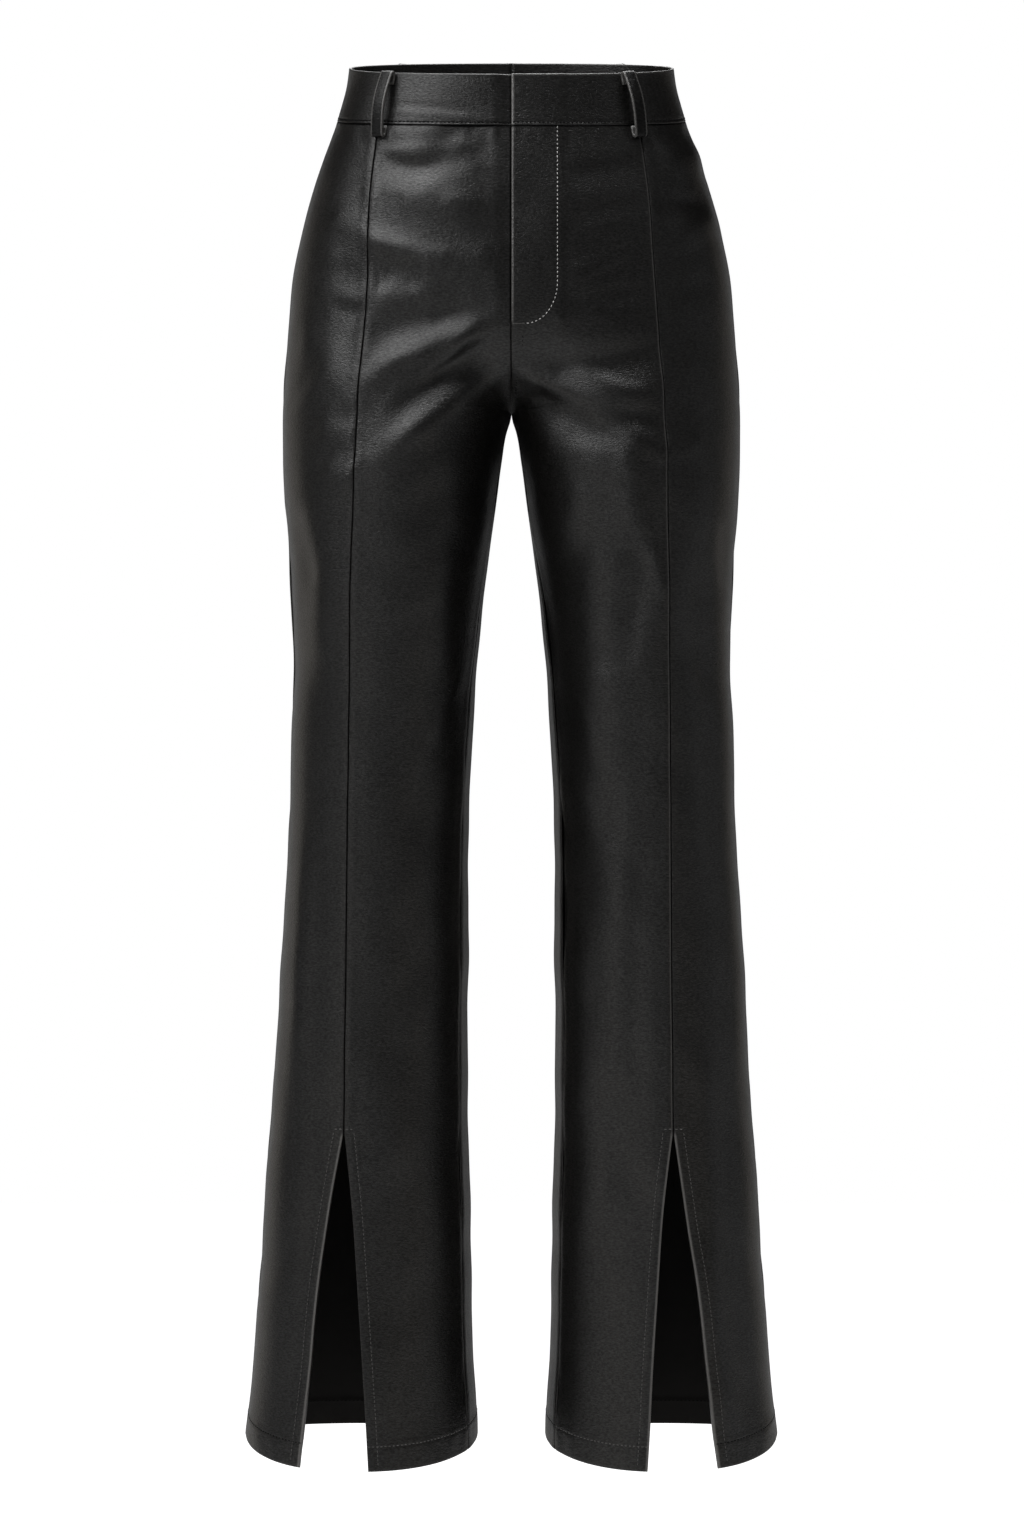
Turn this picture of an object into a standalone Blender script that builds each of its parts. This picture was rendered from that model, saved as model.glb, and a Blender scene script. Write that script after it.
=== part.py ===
"""Faux leather trousers: front panel seams, a lapped fly, and a slit up the front of each leg.

Metres, +Z up.  The origin is the middle of the waist opening, level with the rim at the sides.
The front faces -Y.  The wearer's left is +X and the wearer's right is -X.

The cloth is one smooth surface, cut along its seams.  A place on it has three values:
  down    its height, as a distance below the origin,
  part    the part of the half garment it lies in: front_centre, front_side or back,
  across  how far round that part it lies, 0 to 1, going from the centre front or the inseam past
          the panel seam and the side seam to the centre back or the inseam again.
Both halves are worked out with x positive and the wearer's right half is then mirrored.
"""

import math

import bmesh
import bpy
import numpy as np

# ---------------------------------------------------------------- driving dimensions

WALL = 0.0016            # one layer of faux leather on its backing
TURNED = 0.0012          # what a turned edge adds to it
SEAM_GAP = 0.0003        # between pieces at a seam
HALF_GAP = SEAM_GAP / 2
HEM_DEPTH = 0.019        # turned up at the bottom
HEM_STEP = 0.0012        # height of the step where the turned-up hem ends
SLIT_TURN = 0.0085       # turned back along each slit edge

RIM = 0.0                # heights at the sides, as distances below the origin
WAIST_SEAM = 0.0405
CROTCH_START = 0.187     # where the centre seams begin to curve under
CROTCH = 0.262
MERGE_END = 0.345        # where the panel seams leave the torso's shape behind
SLIT_TOP = 0.8004
HEM = 1.033

BAND_WALL = 0.0026       # the waistband is two layers
BAND_PROUD = 0.0006      # and stands out from the panels below it

FLY_BOTTOM = 0.186       # before the waist's tilt, which lowers the front
FLY_FADE = 0.030         # length over which the lap dies out below the fly
LAP_WIDTH = 0.036        # the left front is raised this far from its lap edge
LAP_RISE = 0.0010
UNDERLAP_SINK = 0.0012   # the right front lies this far below, where it passes under
UNDERLAP_EASE = 0.014    # width over which it sinks
UNDERLAP = 0.23          # how far it passes under, as a share of the centre front panel's width
BAND_SINK = 0.0021

TORSO_POWER = 2.35       # 2 is an ellipse, more is squarer
LEG_POWER = 2.15

LOOP_WIDTH = 0.0100
LOOP_WALL = 0.0022
LOOP_BOW = 0.0076        # clear height for the belt at the loop's middle
LOOP_TURN = 0.0024       # radius of the turns at its ends, to the middle of its wall
LOOP_TAB = 0.0060        # length turned under at each end
LOOP_TOP = 0.0012        # below the rim
LOOP_REACH = 0.0095      # below the waist seam

LEATHER = (0.012, 0.012, 0.013, 1.0)
LEATHER_ROUGHNESS = 0.38


def table(columns, *rows):
    """A table with named columns, each an array down the rows."""
    return dict(zip(columns.split(), np.array(rows, dtype=float).T))


# Half width of the garment at its sides.
OUTLINE = table(
    "down    outer",
    (-0.030, 0.1210),
    (0.0015, 0.1223),
    (0.0170, 0.1245),
    (0.0280, 0.1274),
    (0.0400, 0.1310),
    (0.0550, 0.1361),
    (0.0700, 0.1418),
    (0.0850, 0.1469),
    (0.1000, 0.1514),
    (0.1300, 0.1590),
    (0.1600, 0.1646),
    (0.2060, 0.1692),
    (0.2600, 0.1721),
    (0.3000, 0.1721),
    (0.3530, 0.1694),
    (0.4060, 0.1664),
    (0.4590, 0.1645),
    (0.5120, 0.1658),
    (0.5920, 0.1689),
    (0.6980, 0.1749),
    (0.8040, 0.1824),
    (0.9100, 0.1896),
    (1.0160, 0.1980),
    (1.0600, 0.2021),
)

# Depth of the torso, in front of and behind its side seams.
TORSO = table(
    "down    front   back",
    (-0.030, 0.0760, 0.0800),
    (0.0000, 0.0780, 0.0830),
    (0.0430, 0.0830, 0.0910),
    (0.0850, 0.0900, 0.1040),
    (0.1300, 0.0955, 0.1180),
    (0.1760, 0.0985, 0.1260),
    (0.2100, 0.0990, 0.1270),
    (0.2600, 0.0990, 0.1230),
    (0.3500, 0.0960, 0.1120),
)

# Each leg: its inner side, its depth before and behind, and how far forward the inseam lies.
LEG = table(
    "down    inner   front   back    inseam_degrees",
    (0.1500, 0.0010, 0.0950, 0.1180, 0.0),
    (0.2620, 0.0004, 0.0960, 0.1120, 0.0),
    (0.2680, 0.0016, 0.0958, 0.1113, 0.4),
    (0.2740, 0.0034, 0.0957, 0.1105, 1.0),
    (0.3000, 0.0079, 0.0945, 0.1065, 5.0),
    (0.3270, 0.0117, 0.0930, 0.1010, 8.5),
    (0.3530, 0.0148, 0.0905, 0.0960, 12.0),
    (0.4060, 0.0212, 0.0860, 0.0870, 16.5),
    (0.4590, 0.0265, 0.0810, 0.0800, 20.0),
    (0.5120, 0.0299, 0.0772, 0.0755, 23.0),
    (0.5650, 0.0318, 0.0745, 0.0730, 24.3),
    (0.6450, 0.0326, 0.0728, 0.0728, 25.2),
    (0.7510, 0.0329, 0.0722, 0.0748, 26.0),
    (0.8570, 0.0314, 0.0724, 0.0776, 26.4),
    (0.9630, 0.0288, 0.0733, 0.0806, 26.3),
    (1.0600, 0.0245, 0.0745, 0.0830, 26.0),
)

# The panel seam's distance from the middle, which differs a little between the two sides.
PANEL_SEAM = table(
    "down    right   left",
    (0.0000, 0.0900, 0.0870),
    (0.0450, 0.0985, 0.0940),
    (0.0613, 0.1006, 0.0968),
    (0.0945, 0.1048, 0.1018),
    (0.1400, 0.1069, 0.1053),
    (0.2000, 0.1098, 0.1092),
    (0.2475, 0.1132, 0.1129),
    (0.3000, 0.1162, 0.1157),
    (0.3450, 0.1181, 0.1166),
    (0.4570, 0.1205, 0.1181),
    (0.6000, 0.1225, 0.1190),
    (0.8004, 0.1249, 0.1206),
)

# Below its end the two edges part: the distance of each from the middle.
SLIT = table(
    "down    right_inner right_outer left_inner left_outer",
    (0.8004, 0.1249, 0.1249, 0.1206, 0.1206),
    (0.8600, 0.1190, 0.1356, 0.1135, 0.1291),
    (0.9200, 0.1148, 0.1436, 0.1093, 0.1374),
    (0.9800, 0.1111, 0.1492, 0.1056, 0.1440),
    (1.0200, 0.1087, 0.1530, 0.1037, 0.1482),
    (1.0600, 0.1066, 0.1574, 0.1013, 0.1538),
)

# How far a height line drops for each metre it lies in front of the sides, and rises behind them.
TILT = table(
    "down    front   back",
    (-0.030, 0.176, 0.157),
    (0.0000, 0.176, 0.157),
    (0.0405, 0.150, 0.119),
    (0.1000, 0.070, 0.060),
    (0.1700, 0.000, 0.000),
    (0.3000, 0.000, 0.000),
    (0.7600, 0.000, 0.000),
    (0.9000, 0.120, -0.010),
    (1.0330, 0.280, -0.022),
    (1.0600, 0.280, -0.022),
)

# The largest folds: a ridge stands out and a trough, with a height below 0, sinks in.  Each runs
# between two places seen from its face, and bends by bow at its middle.
FOLDS = {
    "right": table(
        "face x_from  down_from x_to    down_to bow     width   height",
        (1, 0.1066, 0.2300, 0.0254, 0.1940, -0.0034, 0.0100, 0.0036),
        (1, 0.1005, 0.2406, 0.0223, 0.2127, 0.0045, 0.0110, -0.0028),
        (1, 0.0925, 0.2877, 0.0271, 0.2347, -0.0010, 0.0100, 0.0034),
        (1, 0.0768, 0.2909, 0.0145, 0.2406, 0.0010, 0.0095, -0.0026),
        (1, 0.1035, 0.1278, 0.0535, 0.1409, 0.0000, 0.0090, 0.0018),
        (1, 0.1005, 0.1457, 0.0456, 0.1568, 0.0000, 0.0110, -0.0018),
        (1, 0.1050, 0.1642, 0.0597, 0.1659, 0.0030, 0.0085, 0.0012),
        (1, 0.1065, 0.1813, 0.0612, 0.1863, 0.0000, 0.0100, -0.0012),
        (1, 0.1480, 0.3700, 0.1600, 0.4700, 0.0020, 0.0130, -0.0020),
        (1, 0.0420, 0.5050, 0.0740, 0.5850, 0.0030, 0.0120, -0.0016),
        (-1, 0.1150, 0.2850, 0.0300, 0.2620, -0.0060, 0.0120, 0.0030),
        (-1, 0.1200, 0.3040, 0.0350, 0.2850, -0.0060, 0.0100, -0.0024),
        (-1, 0.0480, 0.5350, 0.1350, 0.5600, 0.0050, 0.0120, -0.0022),
        (-1, 0.0500, 0.5800, 0.1300, 0.5950, 0.0040, 0.0120, 0.0018),
    ),
    "left": table(
        "face x_from  down_from x_to    down_to bow     width   height",
        (1, 0.0115, 0.2284, 0.0950, 0.2560, -0.0010, 0.0090, 0.0036),
        (1, 0.0149, 0.2471, 0.1005, 0.2644, -0.0045, 0.0090, -0.0030),
        (1, 0.0226, 0.2673, 0.0914, 0.2752, -0.0140, 0.0110, 0.0030),
        (1, 0.0352, 0.1813, 0.1008, 0.1550, 0.0000, 0.0085, 0.0014),
        (1, 0.0367, 0.1924, 0.1005, 0.1783, 0.0000, 0.0085, -0.0014),
        (1, 0.0493, 0.2065, 0.1054, 0.1924, 0.0000, 0.0090, 0.0014),
        (1, 0.0226, 0.2206, 0.1005, 0.2143, -0.0015, 0.0090, -0.0016),
        (1, 0.1400, 0.3800, 0.1590, 0.4800, 0.0020, 0.0130, -0.0020),
        (1, 0.0480, 0.5150, 0.0760, 0.5900, 0.0030, 0.0120, -0.0014),
        (-1, 0.1150, 0.2820, 0.0320, 0.2600, -0.0060, 0.0120, 0.0030),
        (-1, 0.1180, 0.3020, 0.0380, 0.2840, -0.0060, 0.0100, -0.0024),
        (-1, 0.0500, 0.5400, 0.1300, 0.5620, 0.0050, 0.0120, -0.0022),
        (-1, 0.0520, 0.5840, 0.1300, 0.5980, 0.0040, 0.0120, 0.0018),
    ),
}

# How far the slit flaps splay out at the hem, and the width over which they bend.
FLARE_HEIGHT = 0.0045
FLARE_WIDTH = 0.028

# Zones of rows down the panels, each with its number of steps.
ROW_ZONES = table(
    "start  end    steps",
    (0.0405, 0.1870, 13),
    (0.1870, 0.2620, 10),
    (0.2620, 0.4600, 11),
    (0.4600, 0.6500, 6),
    (0.6500, 0.8004, 4),
    (0.8004, 1.0140, 6),
)
PANEL_STEPS = {"front_centre": 11, "front_side": 5, "back": 12}
BAND_STEPS = {"front_centre": 8, "front_side": 3, "back": 10}
BAND_ROWS = 3
UNDERLAP_STEPS = 2
LOOP_TURN_STEPS = 4
LOOP_STRIP_STEPS = 6

# Where each loop's middle lies at the rim and at its lower end, seen from its face.
LOOPS = {
    "belt_loop_front_right": ("right", 1, 0.0900, 0.0975),
    "belt_loop_front_left": ("left", 1, 0.0850, 0.0940),
    "belt_loop_back_right": ("right", -1, 0.0800, 0.0860),
    "belt_loop_back_left": ("left", -1, 0.0800, 0.0860),
    "belt_loop_back_centre": ("left", -1, 0.0000, 0.0000),
}

SIGN = {"right": -1, "left": 1}
EDGE_COLUMN = {"front_centre": "inner", "front_side": "outer", "back": "outer"}
QUARTER = math.pi / 2


# ---------------------------------------------------------------- curves through the tables

def smooth(share):
    """A soft step from 0 to 1."""
    share = np.clip(share, 0.0, 1.0)
    return share * share * (3.0 - 2.0 * share)


def curve(rows, column, down):
    """A smooth curve through one column of a table, read at each height."""
    knots, values = rows["down"], rows[column]
    slopes = np.gradient(values, knots)
    down = np.clip(down, knots[0], knots[-1])
    place = np.clip(np.searchsorted(knots, down) - 1, 0, len(knots) - 2)
    span = knots[place + 1] - knots[place]
    share = (down - knots[place]) / span
    rise = values[place + 1] - values[place]
    start = slopes[place] * span
    end = slopes[place + 1] * span
    bend = share * (1.0 - share) * ((1.0 - share) * (start - rise) - share * (end - rise))
    return values[place] + share * rise + bend


def ray(angle, power):
    """Distance to the edge of a rounded square of half size 1, along an angle."""
    return (np.abs(np.cos(angle)) ** power + np.abs(np.sin(angle)) ** power) ** (-1.0 / power)


def other_side(share, power):
    """The second coordinate of the point of that square whose first one is share."""
    return (1.0 - np.abs(share) ** power) ** (1.0 / power)


# ---------------------------------------------------------------- the smooth surface

def panel_edge(part, side, down):
    """Distance of the panel seam, or of this part's slit edge, from the middle."""
    seam = curve(PANEL_SEAM, side, down)
    slit = curve(SLIT, side + "_" + EDGE_COLUMN[part], down)
    return np.where(down < SLIT_TOP, seam, slit)


def leg_sizes(down):
    """Middle, half width, front depth, back depth and inseam angle of a leg."""
    outer = curve(OUTLINE, "outer", down)
    inner = curve(LEG, "inner", down)
    inseam = np.radians(curve(LEG, "inseam_degrees", down))
    front = curve(LEG, "front", down)
    back = curve(LEG, "back", down)
    return (outer + inner) / 2, (outer - inner) / 2, front, back, inseam


def angles(part, side, down, across):
    """The place's angle round the torso, from the centre front, and round the leg."""
    edge = panel_edge(part, side, down)
    torso_share = np.clip(edge / curve(OUTLINE, "outer", down), 0.0, 0.999)
    torso_edge = np.arctan2(torso_share, other_side(torso_share, TORSO_POWER))
    middle, half, _, _, inseam = leg_sizes(down)
    leg_share = np.clip((edge - middle) / half, -0.999, 0.999)
    leg_edge = np.arctan2(other_side(leg_share, LEG_POWER), -leg_share)
    if part == "front_centre":
        return across * torso_edge, inseam + across * (leg_edge - inseam)
    if part == "front_side":
        return (torso_edge + across * (QUARTER - torso_edge),
                leg_edge + across * (math.pi - leg_edge))
    return QUARTER * (1.0 + across), math.pi + across * (math.pi + inseam)


def from_middle(part, across):
    """0 at the centre front, the centre back and the inseams, 1 well away from them."""
    if part == "front_centre":
        return np.clip(np.abs(across), 0.0, 1.0)
    if part == "front_side":
        return np.ones_like(across)
    return np.clip(2.0 * np.abs(1.0 - across), 0.0, 1.0)


def leg_weight(part, down, across):
    """0 where the surface has the torso's shape, 1 where it has the leg's."""
    away = from_middle(part, across)
    end = CROTCH + (MERGE_END - CROTCH) * smooth(away)
    fall = 0.5 + 1.5 * smooth(away / 0.6)
    share = np.clip((down - CROTCH_START) / (end - CROTCH_START), 0.0, 1.0)
    return 1.0 - (1.0 - share ** 2) ** fall


def surface(part, side, down, across):
    """Points of the smooth surface."""
    round_torso, round_leg = angles(part, side, down, across)
    outer = curve(OUTLINE, "outer", down)
    depth = np.where(np.cos(round_torso) > 0, curve(TORSO, "front", down), curve(TORSO, "back", down))
    reach = ray(round_torso, TORSO_POWER)
    torso_x = outer * reach * np.sin(round_torso)
    torso_y = -depth * reach * np.cos(round_torso)

    middle, half, front, back, _ = leg_sizes(down)
    depth = np.where(np.sin(round_leg) > 0, front, back)
    reach = ray(round_leg, LEG_POWER)
    leg_x = middle - half * reach * np.cos(round_leg)
    leg_y = -depth * reach * np.sin(round_leg)

    weight = leg_weight(part, down, across)
    x = (1.0 - weight) * torso_x + weight * leg_x
    y = (1.0 - weight) * torso_y + weight * leg_y
    return np.stack([x, y, -down], axis=-1)


def normals(part, side, down, across):
    """Outward directions of the smooth surface."""
    small = 1e-3
    along = surface(part, side, down + small, across) - surface(part, side, down - small, across)
    round_it = surface(part, side, down, across + small) - surface(part, side, down, across - small)
    out = np.cross(along, round_it)
    return out / np.linalg.norm(out, axis=-1, keepdims=True)


def width_per_across(part, side, down, across):
    """Length of cloth for each unit of across."""
    small = 1e-3
    step = surface(part, side, down, across + small) - surface(part, side, down, across - small)
    return np.linalg.norm(step, axis=-1) / (2.0 * small)


# ---------------------------------------------------------------- folds, lap and flare

def fold_relief(part, side, x, down):
    """Height of the folds over the smooth surface."""
    face = -1 if part == "back" else 1
    folds = FOLDS[side]
    relief = np.zeros_like(x)
    for row in range(len(folds["face"])):
        fold = {name: column[row] for name, column in folds.items()}
        if fold["face"] != face:
            continue
        run = np.array([fold["x_to"] - fold["x_from"], fold["down_to"] - fold["down_from"]])
        length = np.linalg.norm(run)
        run /= length
        off_x = x - fold["x_from"]
        off_down = down - fold["down_from"]
        share = (off_x * run[0] + off_down * run[1]) / length
        sideways = off_x * run[1] - off_down * run[0]
        sideways -= fold["bow"] * 4.0 * share * (1.0 - share)
        ends = smooth(share / 0.35 + 0.3) * smooth((1.0 - share) / 0.35 + 0.3)
        relief += fold["height"] * ends * np.exp(-(sideways / fold["width"]) ** 2)
    return relief


def lap_relief(part, side, x, down, height_line, sink):
    """The left front is raised at the fly and the right front passes under it."""
    if part != "front_centre":
        return np.zeros_like(x)
    fade = smooth(1.0 - (height_line - FLY_BOTTOM - 0.004) / FLY_FADE)
    if side == "left":
        return fade * LAP_RISE * smooth((LAP_WIDTH - x) / 0.006 + 1.0)
    return -fade * sink * smooth((UNDERLAP_EASE - x) / UNDERLAP_EASE)


def flare_relief(part, side, x, down):
    """The slit flaps splay outward towards the hem."""
    if part == "back":
        return np.zeros_like(x)
    edge = panel_edge(part, side, down)
    share = smooth((down - SLIT_TOP) / (HEM - SLIT_TOP))
    return FLARE_HEIGHT * share * np.exp(-((x - edge) / FLARE_WIDTH) ** 2)


def fade_at_crotch(part, height_line, across):
    """0 on the crotch seam, so that the two halves don't meet there, 1 elsewhere."""
    near = 1.0 - smooth(np.abs(height_line - CROTCH) / 0.085)
    return 1.0 - near * (1.0 - smooth(from_middle(part, across) / 0.3))


# ---------------------------------------------------------------- from height lines to cloth

def drop_of(part, side, height_line, across):
    """The real distance below the origin of a point on a height line."""
    round_it = 1.0 - from_middle(part, across)
    share = np.clip((height_line - CROTCH_START) / (CROTCH - CROTCH_START), 0.0, 1.0)
    curved = CROTCH_START + (CROTCH - CROTCH_START) * np.sin(QUARTER * share)
    inside = (height_line > CROTCH_START) & (height_line < CROTCH)
    down = np.where(inside, height_line + smooth(round_it) * (curved - height_line), height_line)
    y = surface(part, side, down, across)[..., 1]
    tilt = np.where(y < 0, curve(TILT, "front", height_line), curve(TILT, "back", height_line))
    return down - tilt * y


def cloth(part, side, height_line, across, proud=0.0, sink=UNDERLAP_SINK):
    """Outer points of the cloth, and the directions out of it."""
    down = drop_of(part, side, height_line, across)
    base = surface(part, side, down, across)
    out = normals(part, side, down, across)
    x = np.abs(base[..., 0])
    relief = fold_relief(part, side, x, down) * fade_at_crotch(part, height_line, across)
    relief += flare_relief(part, side, x, down)
    relief += lap_relief(part, side, base[..., 0], down, height_line, sink)
    return base + out * (relief + proud)[..., None], out


def in_from_edges(part, side, height_line, across):
    """Moves a part's two edges in by half the seam gap."""
    width = width_per_across(part, side, drop_of(part, side, height_line, across), across)
    inset = HALF_GAP / width
    return np.clip(across, inset, 1.0 - inset)


# ---------------------------------------------------------------- solids

def leather():
    """The material all pieces share in kind: near-black, smooth and slightly glossy."""
    material = bpy.data.materials.new("faux_leather")
    material.use_nodes = True
    shader = material.node_tree.nodes["Principled BSDF"]
    shader.inputs["Base Color"].default_value = LEATHER
    shader.inputs["Roughness"].default_value = LEATHER_ROUGHNESS
    shader.inputs["Metallic"].default_value = 0.0
    return material


def add_solid(name, points, faces):
    """One object from points and faces, with its faces pointing out."""
    mesh = bpy.data.meshes.new(name)
    mesh.from_pydata([tuple(point) for point in points], [], faces)
    shape = bmesh.new()
    shape.from_mesh(mesh)
    loose = [vertex for vertex in shape.verts if not vertex.link_faces]
    bmesh.ops.delete(shape, geom=loose, context="VERTS")
    bmesh.ops.recalc_face_normals(shape, faces=shape.faces)
    shape.to_mesh(mesh)
    shape.free()
    mesh.shade_smooth()
    mesh.set_sharp_from_angle(angle=math.radians(40))
    mesh.materials.append(leather())
    solid = bpy.data.objects.new(name, mesh)
    bpy.context.scene.collection.objects.link(solid)
    return solid


def add_wall(name, outer, inner, kept):
    """A closed wall between two grids of points; kept says which cells of the grids are cloth."""
    rows, columns = outer.shape[:2]
    count = rows * columns
    points = np.concatenate([outer.reshape(count, 3), inner.reshape(count, 3)])

    def corner(row, column, layer):
        return layer * count + row * columns + column

    def is_kept(row, column):
        return 0 <= row < rows - 1 and 0 <= column < columns - 1 and kept[row, column]

    faces = []
    for row in range(rows - 1):
        for column in range(columns - 1):
            if not is_kept(row, column):
                continue
            ring = [(row, column), (row + 1, column), (row + 1, column + 1), (row, column + 1)]
            faces.append([corner(*place, 0) for place in ring])
            faces.append([corner(*place, 1) for place in reversed(ring)])
            next_cells = [(row, column - 1), (row + 1, column), (row, column + 1), (row - 1, column)]
            for step, next_cell in enumerate(next_cells):
                if not is_kept(*next_cell):
                    start, end = ring[step], ring[(step + 1) % 4]
                    faces.append([corner(*end, 0), corner(*start, 0), corner(*start, 1), corner(*end, 1)])
    return add_solid(name, points, faces)


def to_side(points, side):
    """Mirrors the wearer's right half."""
    return points * np.array([SIGN[side], 1.0, 1.0])


def off_the_middle(points, part, first):
    """Keeps a half garment's points half a seam gap from the middle, from column first on."""
    kept = points.copy()
    kept[:, first:, 0] = np.maximum(points[:, first:, 0], HALF_GAP)
    return kept


def height_lines():
    """The panels' rows, from the waist seam to the hem."""
    lines = [WAIST_SEAM + HALF_GAP]
    for start, end, steps in zip(ROW_ZONES["start"], ROW_ZONES["end"], ROW_ZONES["steps"]):
        lines.extend(np.linspace(start, end, int(steps) + 1)[1:])
    lines.extend([HEM - HEM_DEPTH + HEM_STEP, HEM])
    return np.array(lines)


def panel_columns(part, side, lines):
    """Each row's places across a panel: even steps, and one of the turned-back width at a slit."""
    steps = PANEL_STEPS[part]
    if part == "back":
        return np.tile(np.linspace(0.0, 1.0, steps + 1), (len(lines), 1))
    edge_end = np.full(len(lines), 1.0 if part == "front_centre" else 0.0)
    width = width_per_across(part, side, lines, edge_end)
    turn = SLIT_TURN / width
    even = np.linspace(0.0, 1.0, steps)[None, :] * (1.0 - turn[:, None])
    columns = np.concatenate([even, np.ones((len(lines), 1))], axis=1)
    return columns if part == "front_centre" else 1.0 - columns[:, ::-1]


def panel_thickness(part, lines, columns):
    """The wall, and the turned edges' second layer along the hem and the slits."""
    thickness = np.full(columns.shape, WALL)
    thickness[lines > HEM - HEM_DEPTH + HEM_STEP / 2] += TURNED
    if part != "back":
        edge = -1 if part == "front_centre" else 0
        beside_slit = (lines > SLIT_TOP + 0.01) & (lines < HEM - HEM_DEPTH + HEM_STEP / 2)
        thickness[beside_slit, edge] += TURNED
    return thickness


def add_panel(part, side):
    """One panel, from the waist seam to the hem."""
    lines = height_lines()
    columns = panel_columns(part, side, lines)
    line_grid = np.repeat(lines[:, None], columns.shape[1], axis=1)
    columns = in_from_edges(part, side, line_grid, columns)
    underlap = part == "front_centre" and side == "right"
    if underlap:
        passed_under = np.tile(np.linspace(-UNDERLAP, 0.0, UNDERLAP_STEPS + 1)[:-1], (len(lines), 1))
        columns = np.concatenate([passed_under, columns], axis=1)
        line_grid = np.repeat(lines[:, None], columns.shape[1], axis=1)
    outer, out = cloth(part, side, line_grid, columns)
    inner = outer - out * panel_thickness(part, lines, columns)[..., None]
    kept = np.ones((len(lines) - 1, columns.shape[1] - 1), dtype=bool)
    first = 0
    if underlap:
        first = UNDERLAP_STEPS
        kept[lines[1:] > FLY_BOTTOM + 0.002, :UNDERLAP_STEPS] = False
    outer = off_the_middle(outer, part, first)
    inner = off_the_middle(inner, part, first)
    add_wall(f"{part}_{side}", to_side(outer, side), to_side(inner, side), kept)


def add_waistband(side):
    """Half the waistband, from the fly to the centre back."""
    lines = np.linspace(RIM, WAIST_SEAM - HALF_GAP, BAND_ROWS + 1)
    outers, inners = [], []
    for part, steps in BAND_STEPS.items():
        columns = np.linspace(0.0, 1.0, steps + 1)
        if part != "front_centre":
            columns = columns[1:]
        elif side == "right":
            columns = np.concatenate([np.linspace(-UNDERLAP, 0.0, UNDERLAP_STEPS + 1)[:-1], columns])
        line_grid = np.repeat(lines[:, None], len(columns), axis=1)
        columns = np.tile(columns, (len(lines), 1))
        outer, out = cloth(part, side, line_grid, columns, BAND_PROUD, BAND_SINK)
        outers.append(outer)
        inners.append(outer - out * BAND_WALL)
    outer = np.concatenate(outers, axis=1)
    inner = np.concatenate(inners, axis=1)
    first = UNDERLAP_STEPS if side == "right" else 0
    outer = off_the_middle(outer, "front_centre", first)
    inner = off_the_middle(inner, "front_centre", first)
    kept = np.ones((outer.shape[0] - 1, outer.shape[1] - 1), dtype=bool)
    add_wall(f"waistband_{side}", to_side(outer, side), to_side(inner, side), kept)


def loop_route():
    """A loop's own shape: distances down from its top and out from the band, tab to tab.

    Both ends turn under to a tab on the band, and the strip bows out between them.
    """
    length = WAIST_SEAM + LOOP_REACH - LOOP_TOP
    bow = LOOP_BOW + LOOP_WALL / 2 - 2 * LOOP_TURN
    half_turn = np.linspace(0.0, math.pi, LOOP_TURN_STEPS + 1)
    turn_down = LOOP_TURN - LOOP_TURN * np.sin(half_turn)
    turn_lift = LOOP_TURN - LOOP_TURN * np.cos(half_turn)
    share = np.linspace(0.0, 1.0, LOOP_STRIP_STEPS + 1)[1:-1]
    strip_down = LOOP_TURN + (length - 2 * LOOP_TURN) * share
    strip_lift = 2 * LOOP_TURN + bow * np.sin(math.pi * share)
    tab = LOOP_TURN + LOOP_TAB
    down = np.concatenate([[tab], turn_down, strip_down, length - turn_down[::-1], [length - tab]])
    lift = np.concatenate([[0.0], turn_lift, strip_lift, turn_lift[::-1], [0.0]])
    return np.stack([down, lift], axis=1)


def band_place(side, face, height_line, x):
    """The waistband's outer point and direction at a distance x from the middle."""
    part = "front_centre" if face > 0 else "back"
    across = np.linspace(0.0, 1.0, 400) if face > 0 else np.linspace(1.0, 0.0, 400)
    lines = np.full_like(across, height_line)
    points, out = cloth(part, side, lines, across, BAND_PROUD, BAND_SINK)
    place = min(int(np.searchsorted(points[:, 0], x)), len(across) - 1)
    if x == 0.0:
        return np.array([0.0, *points[0, 1:]]), np.array([0.0, *out[0, 1:]])
    return points[place], out[place]


def add_belt_loop(name, side, face, x_top, x_bottom):
    """A strip with both ends turned under, standing off the waistband."""
    top, top_out = band_place(side, face, LOOP_TOP, x_top)
    bottom, bottom_out = band_place(side, face, WAIST_SEAM + LOOP_REACH, x_bottom)
    down_it = bottom - top
    length = np.linalg.norm(down_it)
    down_it /= length
    out = top_out + bottom_out
    out -= down_it * np.dot(out, down_it)
    out /= np.linalg.norm(out)
    beside = np.cross(down_it, out)
    seat = SEAM_GAP + LOOP_WALL / 2 + band_bulge(side, face, x_top, x_bottom, top, out)
    route = loop_route()
    before = np.vstack([route[:1], route[:-1]])
    after = np.vstack([route[1:], route[-1:]])
    run = after - before
    run /= np.linalg.norm(run, axis=1, keepdims=True)
    points = []
    for (down, lift), (run_down, run_lift) in zip(route, run):
        middle = top + down_it * down + out * (lift + seat)
        thick = down_it * run_lift - out * run_down
        for width_sign, wall_sign in ((-1, -1), (1, -1), (1, 1), (-1, 1)):
            offset = beside * width_sign * LOOP_WIDTH / 2 + thick * wall_sign * LOOP_WALL / 2
            points.append(to_side(middle + offset, side))
    faces = [[3, 2, 1, 0]]
    for ring in range(len(route) - 1):
        for corner in range(4):
            after_corner = (corner + 1) % 4
            faces.append([ring * 4 + corner, ring * 4 + after_corner,
                          ring * 4 + 4 + after_corner, ring * 4 + 4 + corner])
    last = (len(route) - 1) * 4
    faces.append([last, last + 1, last + 2, last + 3])
    add_solid(name, np.array(points), faces)


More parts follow.
